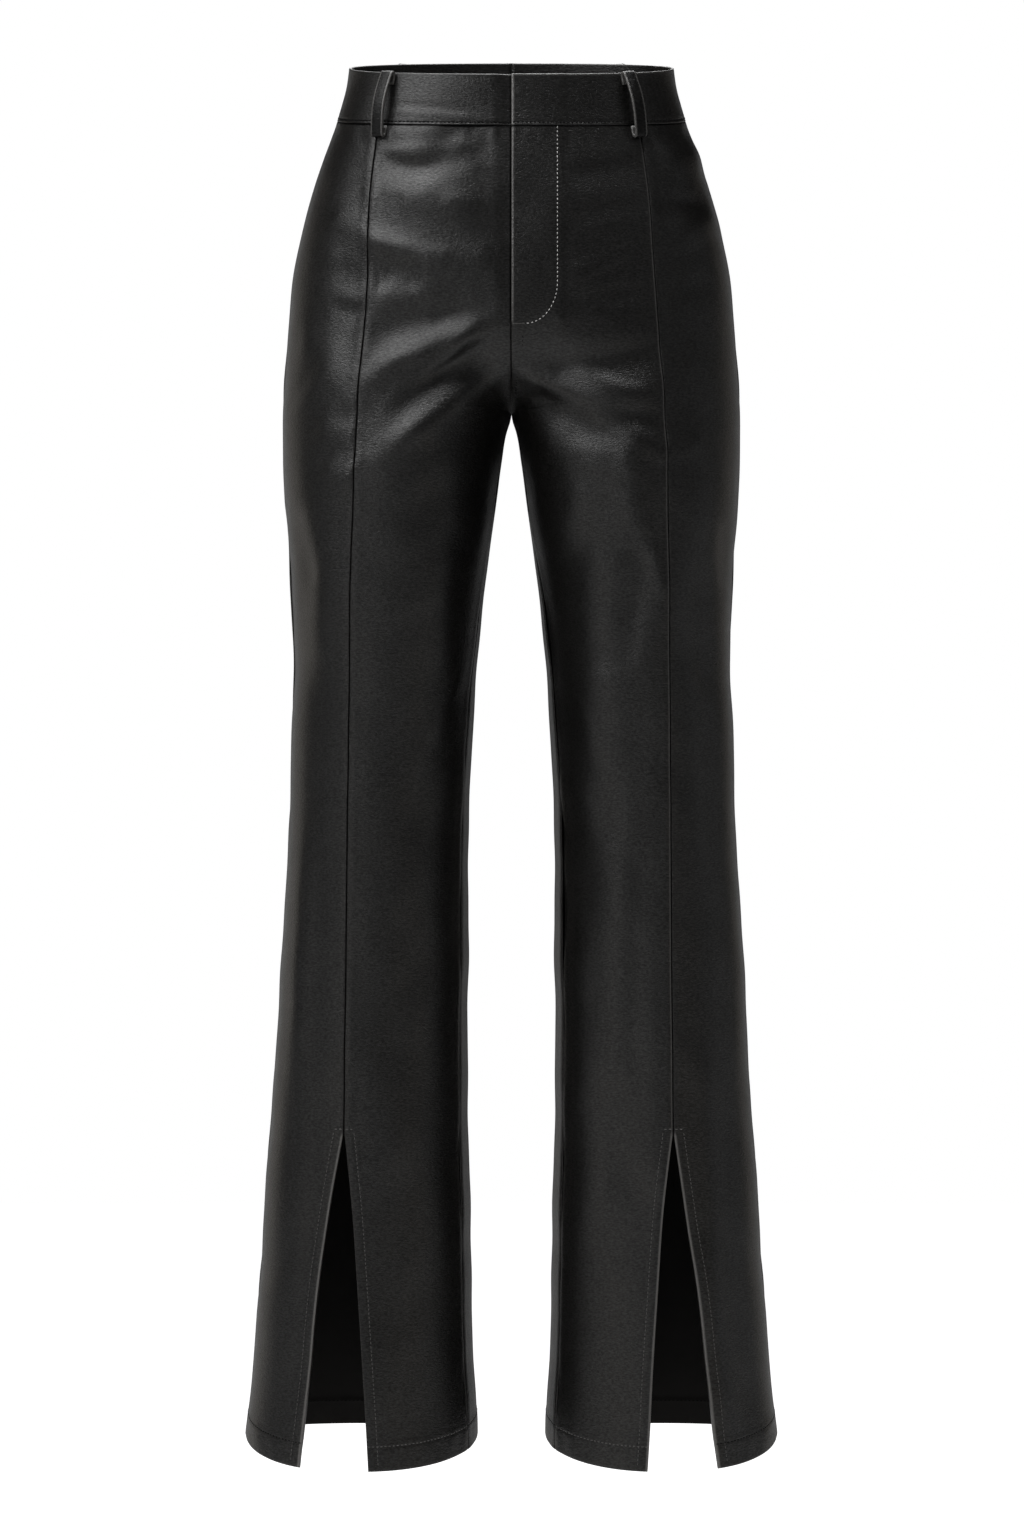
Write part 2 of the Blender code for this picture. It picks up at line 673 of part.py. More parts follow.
def band_bulge(side, face, x_top, x_bottom, top, out):
    """How far the cloth under a loop stands out beyond the loop's straight back."""
    bulge = 0.0
    for share in np.linspace(0.0, 1.0, 9):
        line = LOOP_TOP + share * (WAIST_SEAM + LOOP_REACH - LOOP_TOP)
        x = x_top + share * (x_bottom - x_top)
        for beside in (-LOOP_WIDTH / 2, 0.0, LOOP_WIDTH / 2):
            point, _ = band_place(side, face, line, abs(x + beside))
            bulge = max(bulge, float(np.dot(point - top, out)))
    return bulge


def main():
    for old in list(bpy.data.objects):
        bpy.data.objects.remove(old, do_unlink=True)
    for side in SIGN:
        add_waistband(side)
        for part in PANEL_STEPS:
            add_panel(part, side)
    for name, (side, face, x_top, x_bottom) in LOOPS.items():
        add_belt_loop(name, side, face, x_top, x_bottom)


main()
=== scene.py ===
"""The looks of the faux leather trousers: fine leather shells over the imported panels.

The cloth's smooth surface is worked out again here at a finer spacing.  Its sizes are the solids'
sizes, but for the legs' inner side at the crotch and the fly's end, which differ a little.  It has
creases of its own in place of the solids' folds, and then gets seam welts, rolled edges, stitch
lines, hem puckers and the grain of the leather.  Metres, +Z up; the front faces -Y; +X is the wearer's left.

A place on the cloth has three values:
  down    its height, as a distance below the origin,
  part    the part of the half garment it lies in: front_centre, front_side or back,
  across  how far round that part it lies, 0 to 1, going from the centre front or the inseam past
          the panel seam and the side seam to the centre back or the inseam again.
Both halves are worked out with x positive and the wearer's right half is then mirrored.
"""

import math

import bmesh
import bpy
import numpy as np
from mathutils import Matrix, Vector


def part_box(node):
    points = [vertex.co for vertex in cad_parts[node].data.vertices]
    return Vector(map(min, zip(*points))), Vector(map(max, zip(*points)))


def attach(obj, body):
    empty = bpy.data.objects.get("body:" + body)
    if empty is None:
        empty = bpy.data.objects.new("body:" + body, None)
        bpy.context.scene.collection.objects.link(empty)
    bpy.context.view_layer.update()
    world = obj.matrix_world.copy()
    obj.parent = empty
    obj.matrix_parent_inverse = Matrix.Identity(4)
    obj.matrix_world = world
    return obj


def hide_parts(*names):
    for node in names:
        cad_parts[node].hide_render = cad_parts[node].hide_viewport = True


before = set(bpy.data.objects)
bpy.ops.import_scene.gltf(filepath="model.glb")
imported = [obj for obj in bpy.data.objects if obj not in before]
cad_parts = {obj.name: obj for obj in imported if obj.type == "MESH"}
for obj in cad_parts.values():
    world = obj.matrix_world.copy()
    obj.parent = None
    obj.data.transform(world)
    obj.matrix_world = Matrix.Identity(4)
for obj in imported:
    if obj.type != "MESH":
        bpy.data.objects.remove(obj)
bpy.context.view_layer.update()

# ---------------------------------------------------------------- sizes, nearly all as in the solids

WALL = 0.0016
TURNED = 0.0012
SEAM_GAP = 0.0003
HALF_GAP = SEAM_GAP / 2
MIDDLE_LAP = 0.00003
HEM_DEPTH = 0.019
SLIT_TURN = 0.0085

WAIST_SEAM = 0.0405
CROTCH_START = 0.187
CROTCH = 0.262
MERGE_END = 0.345
SLIT_TOP = 0.8004
HEM = 1.033

BAND_WALL = 0.0026
BAND_PROUD = 0.0006

FLY_BOTTOM = 0.196
FLY_FADE = 0.030
LAP_WIDTH = 0.036
LAP_RISE = 0.0010
UNDERLAP_SINK = 0.0012
UNDERLAP_EASE = 0.014
UNDERLAP = 0.23
BAND_SINK = 0.0021

TORSO_POWER = 2.35
LEG_POWER = 2.15

LOOP_WIDTH = 0.0100
LOOP_WALL = 0.0022
LOOP_BOW = 0.0076
LOOP_TURN = 0.0024
LOOP_TAB = 0.0060
LOOP_TOP = 0.0012
LOOP_REACH = 0.0095

FLARE_HEIGHT = 0.0045
FLARE_WIDTH = 0.028


def table(columns, *rows):
    """A table with named columns, each an array down the rows."""
    return dict(zip(columns.split(), np.array(rows, dtype=float).T))


def crease_table(front, back):
    """A table of the creases of both faces, whose rows are in millimetres and have no face yet."""
    rows = [(1.0,) + row for row in front] + [(-1.0,) + row for row in back]
    scale = np.array([1.0] + [0.001] * 7 + [1.0])
    return table(CREASE_COLUMNS, *(np.array(rows) * scale))


# Half width of the garment at its sides.
OUTLINE = table(
    "down    outer",
    (-0.030, 0.1210),
    (0.0015, 0.1223),
    (0.0170, 0.1245),
    (0.0280, 0.1274),
    (0.0400, 0.1310),
    (0.0550, 0.1361),
    (0.0700, 0.1418),
    (0.0850, 0.1469),
    (0.1000, 0.1514),
    (0.1300, 0.1590),
    (0.1600, 0.1646),
    (0.2060, 0.1692),
    (0.2600, 0.1721),
    (0.3000, 0.1721),
    (0.3530, 0.1694),
    (0.4060, 0.1664),
    (0.4590, 0.1645),
    (0.5120, 0.1658),
    (0.5920, 0.1689),
    (0.6980, 0.1749),
    (0.8040, 0.1824),
    (0.9100, 0.1896),
    (1.0160, 0.1980),
    (1.0600, 0.2021),
)

# Depth of the torso, in front of and behind its side seams.
TORSO = table(
    "down    front   back",
    (-0.030, 0.0760, 0.0800),
    (0.0000, 0.0780, 0.0830),
    (0.0430, 0.0830, 0.0910),
    (0.0850, 0.0900, 0.1040),
    (0.1300, 0.0955, 0.1180),
    (0.1760, 0.0985, 0.1260),
    (0.2100, 0.0990, 0.1270),
    (0.2600, 0.0990, 0.1230),
    (0.3500, 0.0960, 0.1120),
)

# Each leg: its inner side, its depth before and behind, and how far forward the inseam lies.
LEG = table(
    "down    inner   front   back    inseam_degrees",
    (0.1500, 0.0010, 0.0950, 0.1180, 0.0),
    (0.2620, 0.0003, 0.0960, 0.1120, 0.0),
    (0.2680, 0.0014, 0.0958, 0.1113, 0.4),
    (0.2740, 0.0034, 0.0957, 0.1105, 1.0),
    (0.3000, 0.0079, 0.0945, 0.1065, 5.0),
    (0.3270, 0.0117, 0.0930, 0.1010, 8.5),
    (0.3530, 0.0148, 0.0905, 0.0960, 12.0),
    (0.4060, 0.0212, 0.0860, 0.0870, 16.5),
    (0.4590, 0.0265, 0.0810, 0.0800, 20.0),
    (0.5120, 0.0299, 0.0772, 0.0755, 23.0),
    (0.5650, 0.0318, 0.0745, 0.0730, 24.3),
    (0.6450, 0.0326, 0.0728, 0.0728, 25.2),
    (0.7510, 0.0329, 0.0722, 0.0748, 26.0),
    (0.8570, 0.0314, 0.0724, 0.0776, 26.4),
    (0.9630, 0.0288, 0.0733, 0.0806, 26.3),
    (1.0600, 0.0245, 0.0745, 0.0830, 26.0),
)

# The panel seam's distance from the middle, which differs a little between the two sides.
PANEL_SEAM = table(
    "down    right   left",
    (0.0000, 0.0900, 0.0870),
    (0.0450, 0.0985, 0.0940),
    (0.0613, 0.1006, 0.0968),
    (0.0945, 0.1048, 0.1018),
    (0.1400, 0.1069, 0.1053),
    (0.2000, 0.1098, 0.1092),
    (0.2475, 0.1132, 0.1129),
    (0.3000, 0.1162, 0.1157),
    (0.3450, 0.1181, 0.1166),
    (0.4570, 0.1205, 0.1181),
    (0.6000, 0.1225, 0.1190),
    (0.8004, 0.1249, 0.1206),
)

# Below its end the two edges part: the distance of each from the middle.
SLIT = table(
    "down    right_inner right_outer left_inner left_outer",
    (0.8004, 0.1249, 0.1249, 0.1206, 0.1206),
    (0.8600, 0.1190, 0.1356, 0.1135, 0.1291),
    (0.9200, 0.1148, 0.1436, 0.1093, 0.1374),
    (0.9800, 0.1111, 0.1492, 0.1056, 0.1440),
    (1.0200, 0.1087, 0.1530, 0.1037, 0.1482),
    (1.0600, 0.1066, 0.1574, 0.1013, 0.1538),
)

# How far a height line drops for each metre it lies in front of the sides, and rises behind them.
TILT = table(
    "down    front   back",
    (-0.030, 0.176, 0.157),
    (0.0000, 0.176, 0.157),
    (0.0405, 0.150, 0.119),
    (0.1000, 0.070, 0.060),
    (0.1700, 0.000, 0.000),
    (0.3000, 0.000, 0.000),
    (0.7600, 0.000, 0.000),
    (0.9000, 0.120, -0.010),
    (1.0330, 0.280, -0.022),
    (1.0600, 0.280, -0.022),
)

# ---------------------------------------------------------------- folds and creases

# Each runs between two places seen from its face, and bends by bow at its middle.  A ridge has a
# height over 0 and a trough one under 0.  lean makes the side towards the hem steeper, or gentler
# where it is under 0.
#
# The back rows were set one by one.  Most of the front rows were not: a program outside this
# script placed and sized them, by fitting a shaded preview to the photograph's brightness, and
# some were then taken out, put in or limited by hand.
CREASE_COLUMNS = "face x_from down_from x_to down_to bow width height lean"
CREASES = {
    "right": crease_table(
        front=(
            (56.6, 58.3, 16.9, 54.8, -0.5, 9.5, -1.26, -0.04),
            (107.6, 56.7, 43.6, 56.9, 0.1, 8.5, 1.25, 0.29),
            (100.7, 64.2, 44.2, 66.7, -0.5, 7.6, -0.58, -0.20),
            (96.0, 71.0, 26.0, 69.0, -1.0, 8.0, 1.90, 0.00),
            (100.0, 81.0, 34.0, 82.0, 0.0, 10.0, -1.30, 0.00),
            (63.5, 75.2, 9.1, 68.6, -0.4, 9.6, -1.18, -0.03),
            (101.6, 71.3, 60.8, 82.7, 2.4, 5.5, -1.02, -0.33),
            (100.1, 90.9, 50.6, 83.8, -0.7, 8.4, -1.41, -0.01),
            (145.9, 81.2, 115.2, 95.6, 0.4, 10.2, 0.61, -0.01),
            (98.1, 86.6, 55.0, 105.5, 1.9, 10.5, 1.17, 0.33),
            (101.6, 105.3, 79.5, 108.7, 1.2, 9.9, -1.53, -0.27),
            (111.0, 110.8, 140.1, 105.3, -0.0, 9.2, 0.66, 0.01),
            (107.3, 104.2, 24.7, 114.0, -0.2, 11.6, 2.41, -0.05),
            (137.1, 120.2, 110.9, 134.8, -3.9, 11.3, 1.60, -0.02),
            (110.3, 133.7, 48.5, 153.0, 2.8, 8.9, 3.58, -0.04),
            (112.1, 151.1, 141.6, 148.8, 0.1, 8.7, 0.77, 0.00),
            (56.2, 150.4, 14.0, 150.3, 0.8, 9.1, 0.95, 0.00),
            (101.1, 144.1, 43.6, 157.7, 0.0, 10.8, -1.30, -0.41),
            (131.8, 150.7, 102.2, 167.4, -0.7, 13.9, -1.60, 0.05),
            (97.1, 171.5, 40.2, 153.2, -0.2, 8.3, 1.43, 0.00),
            (104.0, 164.9, 65.6, 165.7, 1.6, 11.2, -3.29, 0.13),
            (131.9, 165.7, 96.6, 178.7, 0.2, 15.1, -1.60, 0.00),
            (57.9, 177.6, 14.1, 174.6, -1.0, 9.6, -0.81, 0.01),
            (132.6, 179.7, 111.5, 181.4, 2.7, 5.5, 0.56, 0.37),
            (133.2, 182.4, 109.3, 188.3, 3.3, 8.9, -1.60, -0.35),
            (125.1, 193.7, 52.5, 184.5, 2.5, 23.3, -1.60, -0.46),
            (60.7, 198.8, 8.9, 185.0, 0.2, 9.4, -1.85, -0.04),
            (107.0, 214.0, 27.5, 188.4, -4.6, 14.1, -3.79, -0.06),
            (133.7, 208.0, 110.9, 211.4, 0.7, 10.7, -0.78, 0.16),
            (159.8, 209.6, 123.5, 216.9, 2.0, 14.4, 1.59, -0.04),
            (79.4, 227.9, 24.1, 203.5, 3.7, 5.6, 1.77, -0.15),
            (61.1, 222.9, 13.0, 220.9, -0.1, 9.1, -0.64, 0.00),
            (107.6, 240.4, 14.0, 206.0, -6.5, 7.7, 2.54, 0.09),
            (95.1, 249.1, 10.9, 210.0, 4.6, 9.6, -3.75, -0.48),
            (90.0, 248.5, 34.6, 214.3, 3.8, 5.5, 2.54, -0.15),
            (62.3, 236.4, 16.8, 234.8, -0.3, 7.9, -1.07, 0.03),
            (97.7, 250.3, 145.6, 223.4, -0.9, 10.1, 1.66, 0.02),
            (112.0, 265.5, 146.2, 235.4, 3.2, 9.2, 1.71, -0.05),
            (90.1, 269.3, 41.5, 232.1, -0.0, 7.9, -1.49, -0.05),
            (155.8, 246.5, 123.8, 269.7, -1.1, 15.3, 2.00, -0.04),
            (91.4, 291.2, 5.8, 232.0, -0.2, 9.4, 3.80, -0.06),
            (99.6, 285.9, 44.3, 255.4, 1.3, 8.9, -0.96, -0.01),
            (102.6, 291.6, 27.8, 254.0, -0.5, 12.0, 1.27, 0.01),
            (114.6, 284.2, 145.2, 276.8, -0.5, 12.0, 2.00, -0.02),
            (110.8, 306.6, 47.4, 272.7, 1.6, 9.5, 1.47, -0.01),
            (94.8, 308.4, 54.5, 286.1, 3.0, 6.6, 0.69, 0.26),
            (106.0, 320.7, 44.0, 294.9, -0.1, 9.3, 0.76, 0.01),
            (99.0, 329.7, 27.5, 295.8, 0.4, 12.2, 1.15, -0.01),
            (140.4, 306.8, 118.3, 319.2, -2.2, 14.7, 2.00, 0.09),
            (100.1, 371.9, 28.6, 335.6, 0.4, 12.5, 1.45, 0.00),
            (164.1, 332.3, 152.0, 394.9, 0.4, 8.9, -2.00, -0.01),
            (144.1, 370.1, 113.5, 384.2, 0.2, 10.0, -0.57, -0.00),
            (100.6, 409.6, 32.8, 373.7, -0.1, 12.0, 1.01, 0.01),
            (100.5, 422.0, 42.1, 393.2, 0.4, 9.6, 1.10, -0.01),
            (51.6, 356.5, 53.0, 460.2, 1.1, 16.5, 2.79, 0.15),
            (139.6, 356.1, 136.4, 461.0, 0.2, 17.3, 2.00, 0.18),
            (152.6, 362.7, 156.7, 469.4, 2.2, 12.8, -2.00, 0.09),
            (38.7, 459.6, 56.1, 510.5, 2.4, 6.9, 1.33, 0.01),
            (80.9, 439.8, 78.0, 599.9, 0.1, 14.2, -0.70, -0.00),
            (145.2, 440.0, 146.2, 600.2, -0.3, 9.0, -0.63, -0.01),
            (42.9, 504.9, 74.5, 585.3, 3.4, 12.0, -1.72, 0.01),
            (45.2, 619.9, 100.4, 660.2, 0.0, 16.1, -0.64, 0.00),
            (145.7, 579.5, 147.0, 760.1, -0.1, 8.9, -1.12, -0.01),
            (79.8, 580.0, 78.3, 759.9, 0.1, 14.3, -0.73, -0.00),
            (154.9, 578.3, 162.6, 762.7, -1.4, 8.7, 2.13, 0.01),
            (62.1, 648.7, 92.2, 758.7, 4.6, 16.2, -1.62, 0.02),
            (147.0, 739.8, 150.1, 900.5, 0.2, 9.2, -1.23, 0.00),
            (69.6, 820.1, 97.8, 950.3, 4.9, 14.0, -1.01, -0.00),
            (149.8, 878.8, 165.6, 1030.2, 0.4, 9.4, -1.52, -0.01),
            (133.2, 880.1, 155.8, 1030.1, 0.1, 10.1, -0.70, 0.00),
        ),
        back=(
            (115.0, 285.0, 30.0, 262.0, -6.0, 12.0, 3.00, 0.30),
            (120.0, 304.0, 35.0, 285.0, -6.0, 10.0, -2.40, -0.30),
            (48.0, 535.0, 135.0, 560.0, 5.0, 12.0, -2.20, 0.20),
            (50.0, 580.0, 130.0, 595.0, 4.0, 12.0, 1.80, -0.20),
            (125.0, 100.0, 60.0, 112.0, 4.0, 9.0, -0.90, -0.20),
            (135.0, 230.0, 100.0, 262.0, 3.0, 8.0, 1.00, 0.20),
            (95.0, 272.0, 42.0, 248.0, -4.0, 6.0, -1.00, -0.20),
            (105.0, 325.0, 42.0, 308.0, -5.0, 8.0, 1.10, 0.25),
            (56.0, 558.0, 120.0, 572.0, 3.0, 6.0, 0.90, 0.20),
            (60.0, 618.0, 125.0, 628.0, 4.0, 10.0, -1.00, 0.00),
            (75.0, 860.0, 110.0, 940.0, 4.0, 14.0, 1.00, 0.00),
        ),
    ),
    "left": crease_table(
        front=(
            (105.7, 71.2, 145.3, 67.4, -0.2, 9.8, 1.60, -0.01),
            (144.2, 80.2, 113.6, 82.3, -2.6, 12.0, 1.60, -0.05),
            (40.7, 89.9, 96.8, 79.6, -0.7, 9.6, -1.02, -0.31),
            (106.6, 109.1, 145.2, 107.3, 0.4, 7.1, -1.60, 0.00),
            (40.3, 120.0, 99.7, 109.5, -0.5, 9.3, -0.58, -0.31),
            (155.4, 115.3, 120.0, 129.8, 1.5, 10.0, 1.60, -0.13),
            (40.0, 133.4, 100.6, 119.5, 0.3, 9.3, 0.59, 0.31),
            (41.8, 155.7, 102.1, 135.4, -0.7, 8.3, -0.68, -0.02),
            (110.6, 154.6, 147.6, 145.2, 0.0, 10.1, -1.25, 0.00),
            (38.3, 170.5, 101.4, 137.3, 0.1, 10.0, 1.90, 0.44),
            (152.1, 162.9, 112.9, 174.3, 2.1, 12.5, -1.60, -0.04),
            (36.8, 188.2, 100.8, 174.1, 0.3, 10.9, -2.13, -0.32),
            (28.0, 199.1, 106.9, 185.6, 0.6, 9.0, 1.03, 0.42),
            (15.6, 227.7, 111.6, 216.4, -5.8, 13.2, -3.80, -0.13),
            (32.9, 237.8, 9.9, 238.1, 0.9, 8.6, 0.95, -0.02),
            (113.5, 248.8, 142.9, 235.4, 2.2, 7.9, -0.81, -0.00),
            (42.8, 232.8, 99.9, 254.2, -1.7, 7.8, 1.58, -0.09),
            (91.0, 253.2, 140.3, 234.3, -0.9, 12.0, 2.00, 0.04),
            (-4.2, 232.6, 108.8, 260.0, -4.4, 9.0, 3.80, 0.12),
            (35.6, 243.8, 99.3, 261.4, -0.4, 9.3, -2.13, -0.09),
            (12.9, 248.4, 88.2, 276.9, -7.3, 10.0, -3.80, -0.15),
            (4.4, 265.3, 114.4, 287.4, -20.0, 12.9, 3.80, -0.10),
            (51.5, 266.2, 105.2, 289.6, 1.3, 8.9, 2.30, -0.02),
            (46.1, 271.4, 103.5, 302.4, -0.8, 8.0, -0.72, -0.02),
            (102.8, 298.5, 142.6, 286.7, -0.4, 9.5, 2.00, -0.02),
            (32.4, 286.4, 83.5, 306.0, 3.8, 13.2, -3.41, -0.06),
            (33.7, 301.9, 103.4, 316.9, -0.5, 12.3, 2.61, 0.02),
            (40.3, 296.5, 78.4, 340.2, 5.1, 14.6, -3.03, 0.07),
            (41.6, 327.5, 101.7, 337.0, 4.3, 11.7, 2.27, -0.05),
            (48.0, 330.3, 89.9, 346.2, -1.9, 10.6, -1.74, -0.04),
            (46.8, 335.8, 104.4, 357.0, 4.2, 8.6, 1.24, 0.06),
            (45.2, 356.9, 102.1, 373.3, 0.4, 10.2, -1.18, 0.01),
            (159.2, 346.3, 161.5, 399.3, -0.4, 5.5, -1.20, 0.05),
            (102.2, 361.7, 113.0, 404.2, 0.9, 5.5, 1.56, 0.02),
            (45.9, 400.3, 98.0, 411.6, 0.4, 9.0, 1.22, -0.00),
            (43.5, 401.6, 105.0, 410.9, 0.0, 10.9, -1.71, 0.02),
            (141.7, 354.0, 140.0, 459.4, 0.5, 14.1, -2.00, 0.02),
            (42.8, 354.9, 45.0, 464.7, -3.5, 19.2, -3.62, 0.01),
            (94.2, 369.9, 79.7, 462.0, 2.8, 16.9, -3.74, 0.30),
            (144.4, 378.3, 151.3, 481.1, -0.3, 11.9, -2.00, -0.16),
            (43.3, 469.8, 62.3, 519.6, 2.2, 7.1, 0.60, 0.01),
            (82.0, 439.5, 78.6, 599.5, 0.4, 14.0, -1.01, -0.02),
            (95.7, 439.3, 95.6, 600.1, -0.3, 11.5, -1.08, 0.04),
            (44.4, 439.5, 44.6, 600.6, 0.1, 13.8, -1.63, -0.00),
            (159.0, 439.0, 162.5, 601.4, 0.3, 8.9, 2.00, 0.04),
            (143.7, 440.2, 149.8, 601.4, -0.1, 9.0, -1.59, -0.02),
            (47.5, 515.1, 76.7, 589.4, 3.2, 12.2, -1.44, -0.02),
            (84.3, 560.1, 83.6, 659.7, -0.3, 17.8, 0.90, -0.01),
            (50.9, 559.4, 50.8, 660.5, 0.2, 18.0, -1.49, 0.00),
            (162.4, 577.3, 170.8, 760.3, 1.8, 8.8, 2.18, 0.07),
            (60.1, 578.9, 62.6, 760.0, 0.2, 14.1, -1.84, -0.00),
            (96.8, 579.4, 90.8, 759.9, -0.9, 11.9, -2.10, 0.03),
            (46.3, 579.7, 43.1, 760.1, 0.1, 14.2, -0.88, -0.01),
            (81.0, 580.4, 78.5, 760.5, 0.2, 14.4, -0.92, -0.00),
            (45.7, 698.9, 99.9, 740.0, 0.2, 16.1, -0.82, 0.01),
            (63.0, 758.3, 87.1, 869.7, 5.8, 15.8, -2.05, 0.03),
            (80.8, 738.8, 75.4, 900.0, -0.2, 14.6, -1.98, -0.03),
            (158.0, 739.2, 165.2, 900.1, 0.8, 9.0, -1.55, -0.01),
            (144.0, 739.7, 150.1, 900.1, -0.1, 8.9, 1.19, 0.00),
            (96.5, 739.8, 95.5, 900.2, -0.2, 11.4, -1.73, 0.03),
            (130.7, 840.3, 158.7, 950.4, 4.0, 12.1, 0.58, -0.00),
            (134.3, 879.7, 157.4, 1030.1, 0.6, 10.1, 0.68, 0.01),
            (161.9, 879.4, 180.5, 1031.2, 0.9, 9.2, -1.67, -0.04),
            (144.3, 880.4, 161.7, 1031.8, -1.2, 8.9, 1.85, -0.04),
        ),
        back=(
            (115.0, 282.0, 32.0, 260.0, -6.0, 12.0, 3.00, 0.30),
            (118.0, 302.0, 38.0, 284.0, -6.0, 10.0, -2.40, -0.30),
            (50.0, 540.0, 130.0, 562.0, 5.0, 12.0, -2.20, 0.20),
            (52.0, 584.0, 130.0, 598.0, 4.0, 12.0, 1.80, -0.20),
            (120.0, 96.0, 56.0, 110.0, 4.0, 9.0, -0.90, -0.20),
            (133.0, 226.0, 98.0, 258.0, 3.0, 8.0, 1.00, 0.20),
            (97.0, 270.0, 44.0, 247.0, -4.0, 6.0, -1.00, -0.20),
            (103.0, 323.0, 44.0, 308.0, -5.0, 8.0, 1.10, 0.25),
            (58.0, 561.0, 118.0, 575.0, 3.0, 6.0, 0.90, 0.20),
            (62.0, 620.0, 124.0, 630.0, 4.0, 10.0, -1.00, 0.00),
            (70.0, 870.0, 106.0, 950.0, 4.0, 14.0, 1.00, 0.00),
        ),
    ),
}

# Long shallow waves that keep the leather from looking like sheet metal.
WAVES = table(
    "per_metre_x per_metre_down turn   height",
    (9.0, 5.3, 0.7, 0.00034),
    (-6.1, 11.7, 2.1, 0.00026),
    (17.3, 8.9, 4.0, 0.00016),
    (-13.7, 21.1, 1.3, 0.00012),
    (24.0, -17.0, 5.2, 0.00008),
)

# ---------------------------------------------------------------- seams, edges and stitch lines

ROLL = 0.0009              # a sewn edge rolls under over this width
TOP_ROLL = 0.0003          # under the waistband's edge it hardly does
FOLD_ROLL = 0.0013         # a folded edge is rounder
RIM_ROLL = 0.0008
LAP_ROLL = 0.0014          # the fly's edge is thick and turned
WELT_HEIGHT = 0.00045      # seam allowance under the cloth lifts it beside the seam
WELT_PLACE = 0.0035
WELT_WIDTH = 0.0040
CHANNEL_DEPTH = 0.00026    # a stitch line pulls the cloth in
CHANNEL_WIDTH = 0.0011
# Strength of the painted highlight along the centre front panel's seam edge; it is full along the slit
SEAM_HIGHLIGHT = 0.45
HIGHLIGHT_REACH, HIGHLIGHT_FADE = 0.0022, 0.0012        # how far a painted highlight along a turned edge reaches, and fades
GROOVE_SHADE_REACH, GROOVE_SHADE_FADE = 0.0011, 0.0007    # the same for the painted shade in a seam's groove
LAP_COLUMNS = 8            # columns of the underlap, past the centre front
AWAY = 0.02                # stands for the distance to an edge that a piece doesn't have there

STITCH_LENGTH = 0.0023
STITCH_PITCH = 0.0031
STITCH_WIDTH = 0.00075
STITCH_HEIGHT = 0.00042
FLY_PITCH = 0.0032

BAND_STITCH_WIDTH = 0.0011
SLIT_STITCH_WIDTH = 0.0006
SLIT_BAR_WIDTH = 0.0009
FLY_STITCH_LENGTH, FLY_STITCH_WIDTH = 0.0021, 0.0007
BARTACK_PITCH, BARTACK_LENGTH, BARTACK_WIDTH = 0.0009, 0.0011, 0.0004
LOOP_PITCH, LOOP_STITCH_LENGTH, LOOP_STITCH_WIDTH = 0.0026, 0.0019, 0.00045
LOOP_THREAD_SINK = 0.00008 # the thread lies this far in the loop's face
LOOP_BARE_RINGS = 4        # rings at each end of a loop that have no stitches
RUN_REACH = 0.2            # share of the pitch over which a stitch's direction is read

BAND_STITCH = 0.0027       # above the waist seam
HEM_STITCH = 0.0178        # above the hem
SLIT_STITCH = 0.0076       # from the slit's edge
LOOP_STITCH = 0.0017       # from the loop's edge
FLY_STITCH_X = 0.0340
FLY_CURVE_START = 0.1700
FLY_CURVE_END_X = 0.0105
FLY_CURVE_END = 0.2005

HEM_PUCKER_HEIGHT = 0.00028
HEM_PUCKER_LENGTH = 0.0115
BAND_CREASE_ROWS = table(
    CREASE_COLUMNS,
    (1, 0.0920, 0.0400, 0.0300, 0.0470, 0.0000, 0.0030, 0.0006, 0.30),
    (1, 0.0900, 0.0350, 0.0240, 0.0415, 0.0000, 0.0034, -0.0006, -0.30),
    (1, 0.0600, 0.0200, 0.0100, 0.0250, 0.0010, 0.0060, 0.0004, 0.00),
    (1, 0.0260, 0.0170, 0.0060, 0.0260, 0.0010, 0.0035, -0.0004, 0.00),
)

# ---------------------------------------------------------------- spacing of the fine shells

EDGE_COLUMNS = (0.0, 0.0003, 0.0007, 0.0012, 0.0019, 0.0028, 0.0040, 0.0056, 0.0076)
SLIT_COLUMNS = (0.0, 0.0003, 0.0007, 0.0012, 0.0019, 0.0030, 0.0044, 0.0058, 0.0068, 0.0076,
                0.0084, 0.0096, 0.0114)
INNER_COLUMNS = {"front_centre": 44, "front_side": 22, "back": 64}
BAND_COLUMNS = {"front_centre": 46, "front_side": 24, "back": 70}
BAND_LINES = (0.0, 0.0003, 0.0007, 0.0012, 0.0020, 0.0034, 0.0056, 0.0090, 0.0130, 0.0170, 0.0200, 0.0225,
              0.0250, 0.0275, 0.0300, 0.0322, 0.0341, 0.0357, 0.0368, 0.0378, 0.0386, 0.0392, 0.0397,
              0.0401, 0.04035)
ROW_STEP = 0.0031

LOOP_TURN_STEPS = 10
LOOP_STRIP_STEPS = 18

SIGN = {"right": -1, "left": 1}
SIDES = ("right", "left")
PARTS = ("front_centre", "front_side", "back")
EDGE_COLUMN = {"front_centre": "inner", "front_side": "outer", "back": "outer"}
QUARTER = math.pi / 2

LOOPS = {
    "belt_loop_front_right": ("right", 1, 0.0900, 0.0975),
    "belt_loop_front_left": ("left", 1, 0.0850, 0.0940),
    "belt_loop_back_right": ("right", -1, 0.0800, 0.0860),
    "belt_loop_back_left": ("left", -1, 0.0800, 0.0860),
    "belt_loop_back_centre": ("left", -1, 0.0000, 0.0000),
}


# ---------------------------------------------------------------- curves through the tables

def smooth(share):
    """A soft step from 0 to 1."""
    share = np.clip(share, 0.0, 1.0)
    return share * share * (3.0 - 2.0 * share)


def bump(offset, width):
    """A soft rise of height 1 at offset 0."""
    return np.exp(-(offset / width) ** 2)


